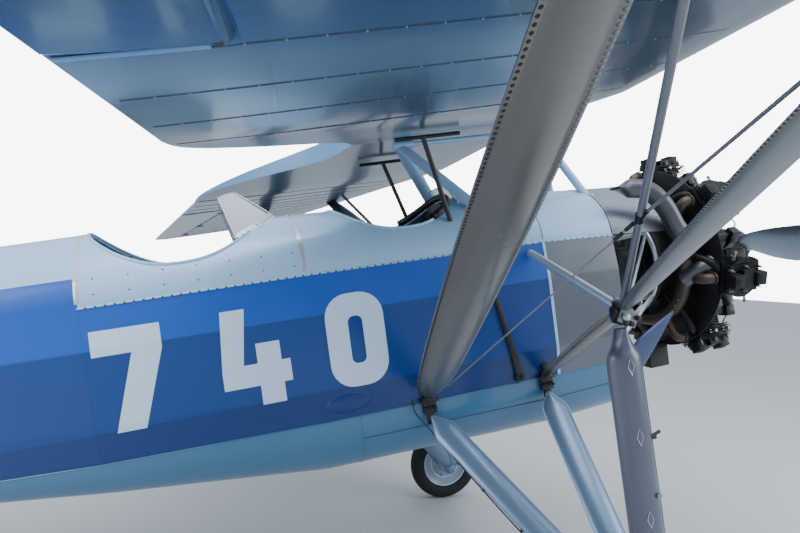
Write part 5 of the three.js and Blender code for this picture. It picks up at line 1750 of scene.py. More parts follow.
@dataclass
class Powerplant:
    """The radial engine with its exhaust and mount, and the two-bladed propeller."""

    shop: Workshop
    finishes: Finishes
    x: float = 1.110
    propeller_x: float = 1.572
    cylinders: int = 7
    stack: tuple = (
        (.927, -.326, 1.362), (.886, -.396, 1.392), (.866, -.420, 1.430), (.809, -.424, 1.510), (.770, -.420, 1.597),
        (.725, -.406, 1.667), (.679, -.388, 1.705), (.608, -.370, 1.719), (.540, -.360, 1.727),
    )
    blade_rows: tuple = (
        (.060, .120, .070, 70), (.130, .200, .056, 52), (.250, .232, .044, 40), (.420, .236, .034, 31), (.750, .236, .022, 25),
        (1.080, .190, .014, 20), (1.210, .120, .009, 18), (1.250, .050, .006, 17),
    )

    @property
    def bearings(self) -> list[float]:
        """The cylinders' bearings."""
        return [2 * math.pi * i / self.cylinders for i in range(self.cylinders)]

    def build(self) -> None:
        """Makes the engine, its pipes and mount, and the propeller."""
        self.crankcase()
        self.cylinder_row()
        self.backing()
        self.plumbing()
        self.exhaust()
        self.mount()
        self.propeller()

    def crankcase(self) -> None:
        """Makes the turned crankcase with its flange bolts and the shaft."""
        axis = Vector((1, 0, 0))
        case = Surface().lathe([
            (-.488, 0), (-.488, .125), (-.476, .135), (-.308, .150), (-.2935, .170), (-.2935, .276), (-.290, .280),
            (-.284, .280), (-.280, .276), (-.272, .236), (-.228, .236), (-.222, .228), (-.128, .228), (-.122, .232),
            (.102, .232), (.112, .228), (.124, .228), (.130, .220), (.182, .190), (.188, .196), (.200, .196),
            (.206, .182), (.312, .110), (.318, .116), (.330, .114), (.336, .100), (.372, .088), (.372, .030),
            (.528, .030), (.528, 0)], Vector((self.x, 0, THRUST_Z)), axis, 64)
        self.shop.place("engine_case", case, self.finishes.engine_grey, replaces=["radial_engine"])
        bolts = Surface()
        for x, radius, count in ((-.280, .262, 21), (.130, .222, 28), (.206, .188, 21), (.336, .106, 14)):
            for i in range(count):
                spot = on_bearing(2 * math.pi * (i + 0.5) / count, radius - 0.006, self.x + x - 0.004)
                bolts.lathe([(0, 0), (0, .0075), (.009, .0075), (.010, .005), (.016, .005), (.016, 0)], spot, axis, 6)
        self.shop.place("engine_case_bolts", bolts, self.finishes.bolt_steel)

    def cylinder_row(self) -> None:
        """Makes the finned cylinders, their heads, rocker boxes and plugs."""
        cores, boxes, plugs = Surface(), Surface(), Surface()
        barrels, heads = [], []
        middle = Vector((self.x, 0, THRUST_Z))
        for turn in self.bearings:
            out = on_bearing(turn, 1, 0) - Vector((0, 0, THRUST_Z))
            around = Matrix.Rotation(-turn, 3, "X")
            cores.lathe([(.200, 0), (.200, .078), (.236, .078), (.240, .092), (.250, .092), (.252, .072), (.444, .072),
                         (.446, .088), (.500, .088), (.505, .080), (.505, 0)], middle, out, 32)
            barrels.append([middle + out * .257, middle + out * .440])
            heads.append([middle + out * .449, middle + out * .503])
            for k in range(7):
                cores.block(middle + out * (.450 + .0098 * k), (.190 + .030 * math.sin(k * .6), .176 - .006 * k, .0034), around)
            cores.block(middle + out * .524, (.062, .100, .036), around)
            for u, v in ((-.085, -.05), (-.085, .05), (.085, -.05), (.085, .05), (0, -.06), (0, .06)):
                stud = middle + out * .500 + around @ Vector((u, v, 0))
                plugs.lathe([(0, 0), (0, .007), (.022, .007), (.024, .004), (.034, .004), (.034, 0)], stud, out, 6)
            for shift in (-.068, .068):
                spot = middle + out * .528 + Vector((shift, 0, 0))
                boxes.block(spot, (.058, .066, .060), around)
                boxes.lathe([(0, 0), (0, .024), (.012, .024), (.016, .018), (.016, 0)], spot + out * .018, out, 16)
                boxes.block(spot + out * .004 + Vector((math.copysign(.016, shift), 0, 0)), (.024, .056, .040), around)
                side = around @ Vector((0, 1, 0))
                for way in (-1, 1):
                    plug = middle + out * .478 + side * way * .086 + Vector((shift * .6, 0, 0))
                    plugs.lathe([(0, 0), (0, .009), (.012, .009), (.012, .006), (.038, .006), (.038, .008), (.050, .008), (.050, 0)],
                                plug, (side * way + out * .25), 8)
        self.shop.place("cylinder_cores", cores, self.finishes.engine_black)
        self.shop.along("cylinder_barrel_fins", LineTree.FINS, barrels, {
            "Spacing": 0.0118, "Fin Radius": 0.0875, "Fin Thickness": 0.0034}, self.finishes.engine_black)
        self.shop.along("cylinder_head_fins", LineTree.FINS, heads, {
            "Spacing": 0.0130, "Fin Radius": 0.0995, "Fin Thickness": 0.0040}, self.finishes.engine_black)
        self.shop.place("rocker_boxes", boxes, self.finishes.engine_black, bevel=0.006)
        self.shop.place("spark_plugs", plugs, self.finishes.bolt_steel)

    def backing(self) -> None:
        """Makes the dark baffle behind the cylinders, the firewall plate, the accessories and the air box."""
        dark = Surface()
        axis, middle = Vector((1, 0, 0)), Vector((self.x, 0, THRUST_Z))
        dark.lathe([(-.104, .225), (-.104, .490), (-.100, .490), (-.100, .225), (-.104, .225)], middle, axis, 56)
        dark.lathe([(-.500, 0), (-.500, .150), (-.470, .190), (-.330, .190), (-.310, .150), (-.310, 0)], middle, axis, 32)
        for turn in self.bearings:
            between = on_bearing(turn + math.pi / self.cylinders, 1, 0) - Vector((0, 0, THRUST_Z))
            dark.lathe([(.225, 0), (.225, .060), (.380, .052), (.440, .030), (.440, 0)], middle + axis * .030, between, 14)
            for x, reach, size in ((-.060, .415, .075), (.070, .360, .060), (.010, .455, .050)):
                dark.block(middle + between * reach + axis * x, (size, size * 1.3, size), Matrix.Rotation(.4 - turn, 3, "X"))
        wall = [Fuselage.nose_point(.504, math.radians(6 * k), .014) for k in range(60)]
        dark.slab(wall, Vector((.004, 0, 0)))
        for x, y, z, size in (
            (.930, 0, .795, (.120, .100, .130)), (.620, .120, 1.180, (.150, .090, .120)), (.640, -.130, 1.170, (.140, .080, .150)),
            (.650, -.110, 1.440, (.120, .100, .090)), (.700, .060, 1.080, (.110, .140, .080)),
        ):
            dark.block(Vector((x, y, z)), size)
        self.shop.place("engine_backing", dark, self.finishes.trim_black, bevel=0.004)

    def plumbing(self) -> None:
        """Makes the pushrod tubes, intake pipes, ignition ring and leads."""
        rods, intakes, leads = Surface(), Surface(), Surface()
        half_step = math.pi / self.cylinders
        for turn in self.bearings:
            for spread, reach in ((-.16, .052), (.16, .052)):
                low = on_bearing(turn + spread * 1.1, .205, self.x + .147)
                high = on_bearing(turn + spread * .26, .505, self.x + reach + .018)
                rods.tube([low, high], 0.0075, 10)
                rods.lathe([(0, 0), (0, .013), (.02, .013), (.024, .009), (.024, 0)], low, high - low, 12)
            path = arc_path([on_bearing(turn + swing, reach, self.x + x) for swing, reach, x in (
                (half_step * .55, .205, -.168), (half_step * .60, .330, -.158), (half_step * .42, .430, -.128), (.09, .462, -.083))])
            intakes.tube(path, 0.021, 14)
            for spread, along in ((.30, .035), (-.30, -.020)):
                start = on_bearing(turn + spread, .246, self.x + .157)
                bow = on_bearing(turn + spread * .9, .370, self.x + .142)
                end = on_bearing(turn + spread * .62, .478, self.x + along)
                leads.tube(arc_path([start, bow, end], 8), 0.0036, 8)
        self.shop.place("pushrod_tubes", rods, self.finishes.engine_grey)
        self.shop.place("intake_pipes", intakes, self.finishes.engine_black)
        ring = [on_bearing(2 * math.pi * i / 56, .246, self.x + .157) for i in range(57)]
        leads.tube(ring, 0.010, 12)
        self.shop.place("ignition_leads", leads, self.finishes.trim_black)

    def exhaust(self) -> None:
        """Makes the collector ring, its stubs and the open stack over the nose."""
        pipes = Surface()
        pipes.tube([on_bearing(2 * math.pi * i / 72, .330, self.x - .183) for i in range(73)], 0.034, 20)
        for turn in self.bearings:
            elbow = arc_path([on_bearing(turn + swing, reach, self.x + x) for swing, reach, x in (
                (.02, .462, -.1383), (.02, .462, -.166), (.01, .440, -.182), (0, .400, -.184), (0, .345, -.183))], 5)
            pipes.tube(elbow, 0.026, 16)
            flange = on_bearing(turn + .02, .462, self.x - .148)
            pipes.lathe([(0, 0), (0, .034), (.008, .034), (.008, 0)], flange, Vector((1, 0, 0)), 12)
        self.shop.place("exhaust_pipes", pipes, self.finishes.pipe_burnt, replaces=["exhaust"])
        path = arc_path(self.stack, 6)
        full = Vector((.046, .046))
        flattened = (.040, .030, .021, .014, .010, .007)
        sizes = [full] * (len(path) - 6) + [Vector((.046 + .002 * i, tall)) for i, tall in enumerate(flattened)]
        stack = Surface().open_pipe(path, sizes, 0.004, 14)
        mouth = arc_path([(.900, -.330, 1.220), (.950, -.378, 1.272), (1.020, -.408, 1.306)], 6)
        stack.open_pipe(mouth, [Vector((.043, .041))] * len(mouth), 0.004, 9)
        self.shop.place("exhaust_stack", stack, self.finishes.stack_steel)

    def mount(self) -> None:
        """Makes the mounting ring and the tubes back to the firewall."""
        frame = Surface()
        x = 0.803
        frame.tube([on_bearing(2 * math.pi * i / 64, .267, x) for i in range(65)], 0.0129, 14)
        feet = [Vector((.502, y, z)) for y, z in ((.300, 1.480), (.300, .975), (-.300, .975), (-.300, 1.480))]
        heads = [on_bearing(math.radians(turn), .267, x) for turn in (52, 128, 232, 308)]
        for i, foot in enumerate(feet):
            frame.tube([foot, heads[i]], 0.013, 14)
            frame.tube([foot, heads[(i + 1) % 4]], 0.010, 12)
            frame.lathe([(0, 0), (0, .030), (.010, .030), (.010, 0)], foot - Vector((.0015, 0, 0)), Vector((1, 0, 0)), 16)
        self.shop.place("engine_bearer", frame, self.finishes.bright_tube, replaces=["engine_mount"])

    def propeller(self) -> None:
        """Makes the two twisted blades, the hub and its bolts."""
        blades = Surface()
        rows = arc_path([row[:3] for row in self.blade_rows], 6)
        pitches = arc_path([(row[0], row[3], 0) for row in self.blade_rows], 6)
        section = [(-.5, 0), (-.44, .16), (-.3, .38), (-.1, .5), (.12, .5), (.3, .38), (.44, .17), (.5, 0),
                   (.4, -.12), (.2, -.26), (-.05, -.3), (-.3, -.2)]
        for side in (1, -1):
            rings = []
            for (r, width, thick), pitch in zip(rows, pitches):
                turn = math.radians(pitch.y)
                ring = []
                for u, v in section:
                    along, up = u * width, v * thick
                    forward = along * math.sin(turn) + up * math.cos(turn)
                    high = along * math.cos(turn) - up * math.sin(turn)
                    ring.append(Vector((self.propeller_x + forward, side * r, THRUST_Z + side * high)))
                rings.append(ring)
            blades.loft(rings)
        self.shop.place("propeller_blades", blades, self.finishes.blade_metal, body="propeller", replaces=["propeller"], sharp=40)
        hub = Surface()
        hub.lathe([(-.084, .031), (-.084, .066), (-.078, .072), (-.054, .088), (-.048, .092), (.026, .092), (.032, .086),
                   (.048, .060), (.054, .052), (.090, .044), (.106, .036), (.110, .030), (.110, .010), (.072, .010),
                   (.072, .031), (-.084, .031)], Vector((self.propeller_x, 0, THRUST_Z)), Vector((1, 0, 0)), 48)
        for i in range(8):
            spot = on_bearing(2 * math.pi * (i + .5) / 8, .070, self.propeller_x + .030)
            hub.lathe([(0, 0), (0, .010), (.012, .010), (.014, .006), (.020, .006), (.020, 0)], spot, Vector((1, 0, 0)), 6)
        self.shop.place("propeller_hub", hub, self.finishes.pipe_burnt, body="propeller")


# Wheels and tail


@dataclass
class Wheels:
    """The two main wheels, each a tyre with tread grooves on a dished disc."""

    shop: Workshop
    finishes: Finishes
    track: float = 1.190
    radius: float = 0.245
    rim: float = 0.148
    half_width: float = 0.052

    def build(self) -> None:
        """Makes both wheels."""
        for side in Side:
            self.tyre(side)
            self.disc(side)

    def tyre(self, side: Side) -> None:
        """Makes one tyre.

        Args:
            side: Which side.
        """
        middle, half = (self.radius + self.rim) / 2, (self.radius - self.rim) / 2
        profile = []
        for i in range(49):
            turn = math.radians(mix(-148, 148, i / 48))
            groove = 0.004 if abs(turn) < 0.75 and i % 4 == 0 else 0.0
            reach = half - groove
            flat = math.copysign(abs(math.sin(turn)) ** 0.85, math.sin(turn))
            profile.append((self.half_width * flat, middle + reach * math.cos(turn)))
        centre = Vector((0, side.value * self.track, 0))
        shape = Surface().lathe([*profile, profile[0]], centre, Vector((0, 1, 0)), 96)
        self.shop.place(f"tyre_tread_{side.word}", shape, self.finishes.rubber, body=f"wheel_{side.word}", replaces=[f"tyre_{side.word}"], sharp=40)

    def disc(self, side: Side) -> None:
        """Makes one wheel's rim, dished disc, hub and nuts.

        Args:
            side: Which side.
        """
        centre = Vector((0, side.value * self.track, 0))
        axis = Vector((0, 1, 0))
        edge = self.rim + 0.010
        profile = [(-.062, .0204), (-.062, .040), (-.058, .044), (-.030, .052), (-.018, .070), (-.014, edge - .030), (-.020, edge - .016),
                   (-.030, edge - .006), (-.030, edge), (-.026, edge - .003), (.026, edge - .003), (.030, edge), (.030, edge - .006),
                   (.020, edge - .016), (.014, edge - .030), (.018, .070), (.030, .052), (.058, .044), (.062, .040), (.062, .0204),
                   (-.062, .0204)]
        body = f"wheel_{side.word}"
        disc = Surface().lathe(profile, centre, axis, 64)
        self.shop.place(f"rim_disc_{side.word}", disc, self.finishes.wheel_enamel, body=body, replaces=[f"rim_{side.word}"])
        rings = [[centre + Vector((math.cos(math.pi * k / 24) * r, way * .0315, math.sin(math.pi * k / 24) * r)) for k in range(49)]
                 for way in (-1, 1) for r in (edge - .003,)]
        rings += [[centre + Vector((math.cos(math.pi * k / 24) * .100, way * .016, math.sin(math.pi * k / 24) * .100)) for k in range(49)]
                  for way in (-1, 1)]
        self.shop.along(f"rim_rings_{side.word}", LineTree.BEAD, rings, {"Bead Radius": 0.0035}, self.finishes.marking_white, body=body)
        nuts = Surface()
        for way in (-1, 1):
            for i in range(8):
                turn = 2 * math.pi * (i + .5) / 8
                spot = centre + Vector((math.cos(turn) * .088, way * .013, math.sin(turn) * .088))
                nuts.lathe([(0, 0), (0, .009), (.010, .009), (.011, .005), (.016, .005), (.016, 0)], spot, axis * way, 6)
        self.shop.place(f"rim_nuts_{side.word}", nuts, self.finishes.bolt_steel, body=body)


@dataclass
class Tail:
    """The tailplane, elevators, fin, rudder, braces and skid."""

    shop: Workshop
    finishes: Finishes
    plane_z: float = 1.598
    hinge_x: float = -4.700
    rudder_x: float = -4.784

    def build(self) -> None:
        """Makes the whole tail."""
        self.plane()
        for side in Side:
            self.elevator(side)
            self.brace(side)
        self.fin()
        self.rudder()
        self.skid()

    @staticmethod
    def _panel(leading: Callable[[float], float], trailing: Callable[[float], float], spans: Sequence[float],
               thick: tuple[float, float], place: Callable[[float, float, float], Vector]) -> Surface:
        """Lofts a flat tail surface with a rounded front and a thin rear edge.

        Args:
            leading: The front edge at each span station.
            trailing: The rear edge at each span station.
            spans: The span stations.
            thick: Half-thickness in front and behind.
            place: Puts a chordwise place, span station and height into the datum.

        Returns:
            The surface.
        """
        rings = []
        for span in spans:
            front, rear = leading(span), trailing(span)
            outline = []
            for k in range(17):
                t = (1 - math.cos(math.pi * k / 16)) / 2
                bulge = math.sqrt(max(0.0, 1 - (1 - min(1, t / 0.25)) ** 2)) if t < 0.25 else 1.0
                outline.append((mix(front, rear, t), mix(thick[0], thick[1], t) * max(bulge, 0.04)))
            rings.append([place(x, span, z) for x, z in outline] + [place(x, span, -z) for x, z in reversed(outline)])
        return Surface().loft(rings)

    @staticmethod
    def _edge(rows: Sequence[tuple[float, float]]) -> Callable[[float], float]:
        """Returns a function that reads an edge from its span and place pairs."""
        smooth = arc_path([(span, x, 0) for span, x in rows], 8)

        def read(span: float) -> float:
            for a, b in zip(smooth, smooth[1:]):
                if span <= b.x + 1e-9:
                    return mix(a.y, b.y, (span - a.x) / max(b.x - a.x, 1e-9))
            return smooth[-1].y

        return read

    def plane(self) -> None:
        """Makes the tailplane with its rib tapes."""
        edge = self._edge(((0, -4.030), (1.450, -4.210), (1.700, -4.330), (1.800, -4.470)))
        rear = self.hinge_x + 0.026
        spans = [1.8 * math.sin(math.pi / 2 * k / 24) for k in range(-24, 25)]
        body = self._panel(lambda y: edge(abs(y)), lambda y: rear, spans, (.031, .020), lambda x, y, z: Vector((x, y, self.plane_z + z)))
        hull = Surface().loft([self._hull_ring(x) for x in (-3.9, -4.749)])
        self.shop.place("tailplane_skin", self.shop.carve("tailplane_skin", body, [hull]), self.finishes.tail_blue, replaces=["tailplane"])
        ribs = []
        for k in range(-6, 7):
            y = 0.27 * k
            if abs(y) > 0.2:
                for way in (-1, 1):
                    front = edge(abs(y))
                    ribs.append([Vector((mix(front, rear, t), y, self.plane_z + way * (mix(.031, .020, t) + .0006))) for t in (.12, .4, .7, .97)])
        self.shop.along("tailplane_rib_tapes", LineTree.BEAD, ribs, {"Bead Radius": 0.0022}, self.finishes.tail_blue)

    @staticmethod
    def _hull_ring(x: float) -> Ring:
        """Returns the hull's outline with its deck, a little grown, to trim what stands on it."""
        row = station(x)
        crown = [row.crown(math.pi * k / 24) for k in range(1, 24)]
        grow = 1.004
        ring = [*reversed(crown), *row.flank()]
        return [Vector((p.x, p.y * grow, mix(row.sill, p.z, grow))) for p in ring]

    def elevator(self, side: Side) -> None:
        """Makes one elevator.

        Args:
            side: Which side.
        """
        rear = self._edge(((.066, -4.712), (.173, -4.893), (.270, -5.063), (.310, -5.092), (.420, -5.110), (1.200, -5.100), (1.500, -5.060), (1.700, -4.960), (1.795, -4.800)))
        spans = [.066, .12, .2, *(.28 + .11 * k for k in range(12)), 1.60, 1.68, 1.74, 1.78, 1.795]
        shape = self._panel(lambda y: self.hinge_x + .020, rear, spans, (.020, .0045),
                            lambda x, y, z: Vector((x, y * side.value, self.plane_z + z)))
        body = f"elevator_{side.word}"
        self.shop.place(f"elevator_skin_{side.word}", shape, self.finishes.tail_blue, body=body, replaces=[body])
        ribs = []
        for k in range(6):
            y = .27 * (k + 1)
            back = rear(y)
            for way in (-1, 1):
                ribs.append([Vector((mix(self.hinge_x - .03, back, t), y * side.value, self.plane_z + way * (mix(.0190, .0048, t) + .001)))
                             for t in (0, .35, .7, .96)])
        self.shop.along(f"elevator_rib_tapes_{side.word}", LineTree.BEAD, ribs, {"Bead Radius": 0.002}, self.finishes.tail_blue, body=body)

    def brace(self, side: Side) -> None:
        """Makes one strut under the tailplane.

        Args:
            side: Which side.
        """
        tube = Surface().tube([on_side((-4.420, .083, 1.2245), side), on_side((-4.420, .960, 1.590), side)], 0.014, 16)
        self.shop.place(f"tail_strut_{side.word}", tube, self.finishes.gear_silver, replaces=[f"tail_brace_{side.word}"])

    def fin(self) -> None:
        """Makes the fin."""
        front = self._edge(((1.60, -4.085), (1.64, -4.100), (1.80, -4.300), (2.01, -4.480), (2.11, -4.570), (2.17, -4.660), (2.19, -4.740)))
        spans = [1.50, 1.60, *(1.64 + .05 * k for k in range(9)), 2.08, 2.12, 2.15, 2.175, 2.19]
        shape = self._panel(lambda z: front(max(z, 1.60)), lambda z: self.rudder_x + .028, spans, (.024, .022), lambda x, z, y: Vector((x, y, z)))
        hull = Surface().loft([self._hull_ring(x) for x in (-3.9, -4.749)])
        self.shop.place("fin_skin", self.shop.carve("fin_skin", shape, [hull]), self.finishes.tail_blue, replaces=["fin"])

    def rudder(self) -> None:
        """Makes the rudder."""
        rear = self._edge(((1.118, -4.905), (1.140, -5.120), (1.260, -5.270), (1.450, -5.340), (1.720, -5.350), (1.960, -5.300),
                           (2.130, -5.190), (2.225, -5.020), (2.238, -4.860)))
        spans = [1.118, 1.124, 1.14, 1.17, *(1.21 + .07 * k for k in range(13)), 2.10, 2.14, 2.18, 2.21, 2.225, 2.238]
        shape = self._panel(lambda z: self.rudder_x + .022, rear, spans, (.022, .0045), lambda x, z, y: Vector((x, y, z)))
        self.shop.place("rudder_skin", shape, self.finishes.tail_blue, body="rudder", replaces=["rudder"])
        ribs = [[Vector((mix(self.rudder_x - .03, rear(z), t), way * (mix(.0208, .0048, t) + .001), z)) for t in (0, .4, .96)]
                for z in (1.30, 1.50, 1.70, 1.90, 2.08) for way in (-1, 1)]
        self.shop.along("rudder_rib_tapes", LineTree.BEAD, ribs, {"Bead Radius": 0.002}, self.finishes.tail_blue, body="rudder")

    def skid(self) -> None:
        """Makes the sprung tail skid with its shoe and leg."""
        leaf = Surface()
        path = arc_path([(-4.330, 0, 1.120), (-4.480, 0, 1.010), (-4.640, 0, .830), (-4.800, 0, .672)], 8)
        rings = []
        for i, point in enumerate(path):
            ahead = (path[min(i + 1, len(path) - 1)] - path[max(i - 1, 0)]).normalized()
            up = ahead.cross(Vector((0, 1, 0)))
            width, thick = mix(.030, .024, i / (len(path) - 1)), .012
            rings.append([point + Vector((0, y, 0)) + up * z for y, z in ((-width, -thick), (width, -thick), (width, thick), (-width, thick))])
        leaf.loft(rings)
        leaf.tube([Vector((-4.640, 0, 1.110)), Vector((-4.640, 0, .835))], 0.016, 16)
        ground = [(-4.880, 0), (-4.720, 0), (-4.690, .040), (-4.760, .062), (-4.870, .042)]
        slope = math.radians(10.35)
        shoe = [Vector((x, -.045, -(.245 + x * math.sin(slope)) / math.cos(slope) + up)) for x, up in ground]
        leaf.slab(shoe, Vector((0, .090, 0)))
        self.shop.place("tail_skid_leaf", leaf, self.finishes.strut_metal, replaces=["tail_skid"], bevel=0.002)


# Cockpits


@dataclass(frozen=True)
class CockpitPlan:
    """Where one cockpit's fittings stand."""

    name: str
    opening: Opening
    seat_x: float
    panel_x: float
    screen_x: float
    screen_scale: float


@dataclass
class Cockpits:
    """Seats, cushions, harness, instrument panels, controls and windscreens."""

    shop: Workshop
    finishes: Finishes
    pan_z: float = 1.180
    width: float = 0.420
    depth: float = 0.380
    plans: tuple = (
        CockpitPlan("front", FRONT_OPENING, -0.780, -0.250, -0.098, 0.6),
        CockpitPlan("rear", REAR_OPENING, -1.700, -1.125, -1.065, 1.0),
    )

    def build(self) -> None:
        """Furnishes both cockpits."""
        for plan in self.plans:
            self.seat(plan)
            self.cushion(plan)
            self.harness(plan)
            self.panel(plan)
            self.controls(plan)
            self.windscreen(plan)
        self.coaming()

    def seat(self, plan: CockpitPlan) -> None:
        """Makes a pressed seat with swept sides.

        Args:
            plan: The cockpit.
        """
        shell = Surface()
        half, x, z = self.width / 2, plan.seat_x, self.pan_z
        floor = station(x + .06).band + WALL + .0003
        shell.block(Vector((x + self.depth / 2, 0, z - .007)), (self.depth, self.width - .03, .012))
        shell.block(Vector((x - .007, 0, z + .253)), (.012, self.width - .03, .520))
        shell.block(Vector((x + .18, 0, (floor + z - .013) / 2)), (.24, .24, z - .0135 - floor))
        outline = [(0, 0), (self.depth, 0), (self.depth, .05), (.30, .09), (.20, .18), (.11, .29), (.05, .40), (0, .44)]
        smooth = [outline[0], outline[1], *[(p.x, p.y) for p in arc_path([(u, v, 0) for u, v in outline[2:]], 4)]]
        for way in (-1, 1):
            shell.slab([Vector((x + u, way * half, z + v)) for u, v in smooth], Vector((0, -way * .012, 0)))
        self.shop.place(f"seat_shell_{plan.name}", shell, self.finishes.cabin_green, replaces=[f"seat_{plan.name}"], bevel=0.003)

    def _pad(self, name: str, centre: Vector, size: tuple[float, float, float], thin: int) -> bpy.types.Object:
        """Makes a stuffed pad by inflating a soft block.

        Args:
            name: The pad's name.
            centre: Its middle.
            size: Its three side lengths.
            thin: The axis of its thickness.

        Returns:
            The pad, dressed and riding.
        """
        block = Surface().block(centre, [length - 0.014 for length in size]).mesh(name)
        worker = self.shop.stand(name + "_soft", block)
        worker.modifiers.new("rounded_edges", "BEVEL").width = min(size) * 0.30
        worker.modifiers["rounded_edges"].segments = 4
        mesh = self.shop.evaluated(worker)
        worker = self.shop.stand(name + "_soft", mesh)
        remesh = worker.modifiers.new("even_skin", "REMESH")
        remesh.mode = "VOXEL"
        remesh.voxel_size = 0.006
        mesh = self.shop.evaluated(worker)
        mesh = self._inflated(name, mesh, min(size) * 0.22)
        shape = bmesh.new()
        shape.from_mesh(mesh)
        for vertex in shape.verts:
            across = [(vertex.co[i] - centre[i]) / size[i] for i in range(3)]
            flat = [across[i] for i in range(3) if i != thin]
            channel = abs(math.sin(flat[1] * math.pi * 5)) ** 0.35
            crown = max(0.0, 1 - (flat[0] * 2) ** 2) * max(0.0, 1 - (flat[1] * 2) ** 2)
            if across[thin] > 0.15:
                vertex.co[thin] += size[thin] * (0.16 * crown * channel - 0.07 * (1 - channel))
        bmesh.ops.smooth_vert(shape, verts=shape.verts, factor=0.5, use_axis_x=True, use_axis_y=True, use_axis_z=True)
        shape.to_mesh(mesh)
        shape.free()
        piece = self.shop.place(name, mesh, self.finishes.leather, sharp=80)
        return piece

    def _inflated(self, name: str, mesh: bpy.types.Mesh, cap: float) -> bpy.types.Mesh:
        """Inflates a mesh with cloth under pressure, no point moving further than a cap.

        Args:
            name: The pad's name.
            mesh: The even skin to inflate.
            cap: The furthest that a point may move.

        Returns:
            The inflated mesh.
        """
        start = [vertex.co.copy() for vertex in mesh.vertices]
        worker = self.shop.stand(name + "_cloth", mesh)
        cloth = worker.modifiers.new("stuffing", "CLOTH")
        cloth.settings.use_pressure = True
        cloth.settings.uniform_pressure_force = 4.0
        cloth.settings.effector_weights.gravity = 0.0
        cloth.point_cache.frame_start = 1
        cloth.point_cache.frame_end = 20
        for frame_number in range(1, 21):
            bpy.context.scene.frame_set(frame_number)
        result = self.shop.evaluated(worker)
        for vertex, rest in zip(result.vertices, start):
            moved = vertex.co - rest
            if moved.length > cap:
                vertex.co = rest + moved.normalized() * cap
        bpy.context.scene.frame_set(1)
        return result

    def cushion(self, plan: CockpitPlan) -> None:
        """Makes the seat cushion.

        Args:
            plan: The cockpit.
        """
        low = self.pan_z + .0006
        half = self.width / 2 - .017
        centre = Vector((plan.seat_x + .192, 0, low + .031))
        pad = self._pad(f"cushion_pad_{plan.name}", centre, (.350, half * 2 - .01, .056), thin=2)
        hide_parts(f"cushion_{plan.name}")

    def harness(self, plan: CockpitPlan) -> None:
        """Lays two shoulder straps down the seat back and a buckle on the cushion.

        Args:
            plan: The cockpit.
        """
        straps, buckles = Surface(), Surface()
        x, z = plan.seat_x, self.pan_z
        for way in (-1, 1):
            path = arc_path([(x - .010, way * .085, z + .513), (x + .004, way * .085, z + .512), (x + .010, way * .080, z + .40),
                             (x + .022, way * .070, z + .20), (x + .060, way * .060, z + .085), (x + .180, way * .035, z + .078)], 6)
            rings = []
            for i, point in enumerate(path):
                ahead = (path[min(i + 1, len(path) - 1)] - path[max(i - 1, 0)]).normalized()
                up = ahead.cross(Vector((0, 1, 0))).normalized() * .0012
                rings.append([point + Vector((0, u, 0)) + up * v for u, v in ((-.021, -1), (.021, -1), (.021, 1), (-.021, 1))])
            straps.loft(rings)
            buckles.block(path[14] + Vector((.004, 0, 0)), (.006, .050, .034))
        buckles.block(Vector((x + .185, 0, z + .079)), (.060, .070, .012))
        self.shop.place(f"harness_straps_{plan.name}", straps, self.finishes.webbing)
        self.shop.place(f"harness_buckles_{plan.name}", buckles, self.finishes.bolt_steel, bevel=0.002)

    def panel(self, plan: CockpitPlan) -> None:
        """Makes the instrument panel with its dials.

        Args:
            plan: The cockpit.
        """
        row = station(plan.panel_x)
        inside = WALL + .0003
        crown = [row.crown(math.pi * k / 32, .0172) for k in range(2, 31)]
        lower = [Vector((row.x, y, z)) for y, z in (
            (-(row.sill_half - inside), row.sill), (-(row.side - inside - .008), row.upper + .02),
            (row.side - inside - .008, row.upper + .02), (row.sill_half - inside, row.sill))]
        face = Surface().slab([p + Vector((-.006, 0, 0)) for p in (*crown, *lower)], Vector((.012, 0, 0)))
        self.shop.place(f"instrument_board_{plan.name}", face, self.finishes.trim_black, replaces=[f"instrument_panel_{plan.name}"])
        rims, faces, marks = Surface(), Surface(), Surface()
        back = Vector((-1, 0, 0))
        for y, z, r in ((-.20, 1.60, .040), (-.10, 1.62, .044), (0, 1.63, .044), (.10, 1.62, .044), (.20, 1.60, .040),
                        (-.15, 1.50, .032), (-.05, 1.51, .036), (.06, 1.51, .036), (.15, 1.50, .032)):
            spot = Vector((plan.panel_x - .006, y, z))
            rims.lathe([(0, r), (.014, r), (.016, r - .003), (.016, r - .006), (.006, r - .007), (0, r - .007), (0, r)], spot, back, 28)
            faces.lathe([(0, 0), (0, r - .006), (.006, r - .006), (.006, 0)], spot, back, 28)
            for tick in range(10):
                turn = math.radians(-140 + 31 * tick)
                way = Vector((0, math.sin(turn), math.cos(turn)))
                marks.block(spot + back * .0068 + way * (r - .012), (.0012, .0022, .0022))
            needle = math.radians(37 * (y * 50 % 7) - 100)
            way = Vector((0, math.sin(needle), math.cos(needle)))
            marks.tube([spot + back * .0078 - way * r * .2, spot + back * .0078 + way * r * .6], 0.0009, 6)
        self.shop.place(f"dial_rims_{plan.name}", rims, self.finishes.bolt_steel)
        self.shop.place(f"dial_faces_{plan.name}", faces, self.finishes.trim_black)
        self.shop.place(f"dial_marks_{plan.name}", marks, self.finishes.dial_white)

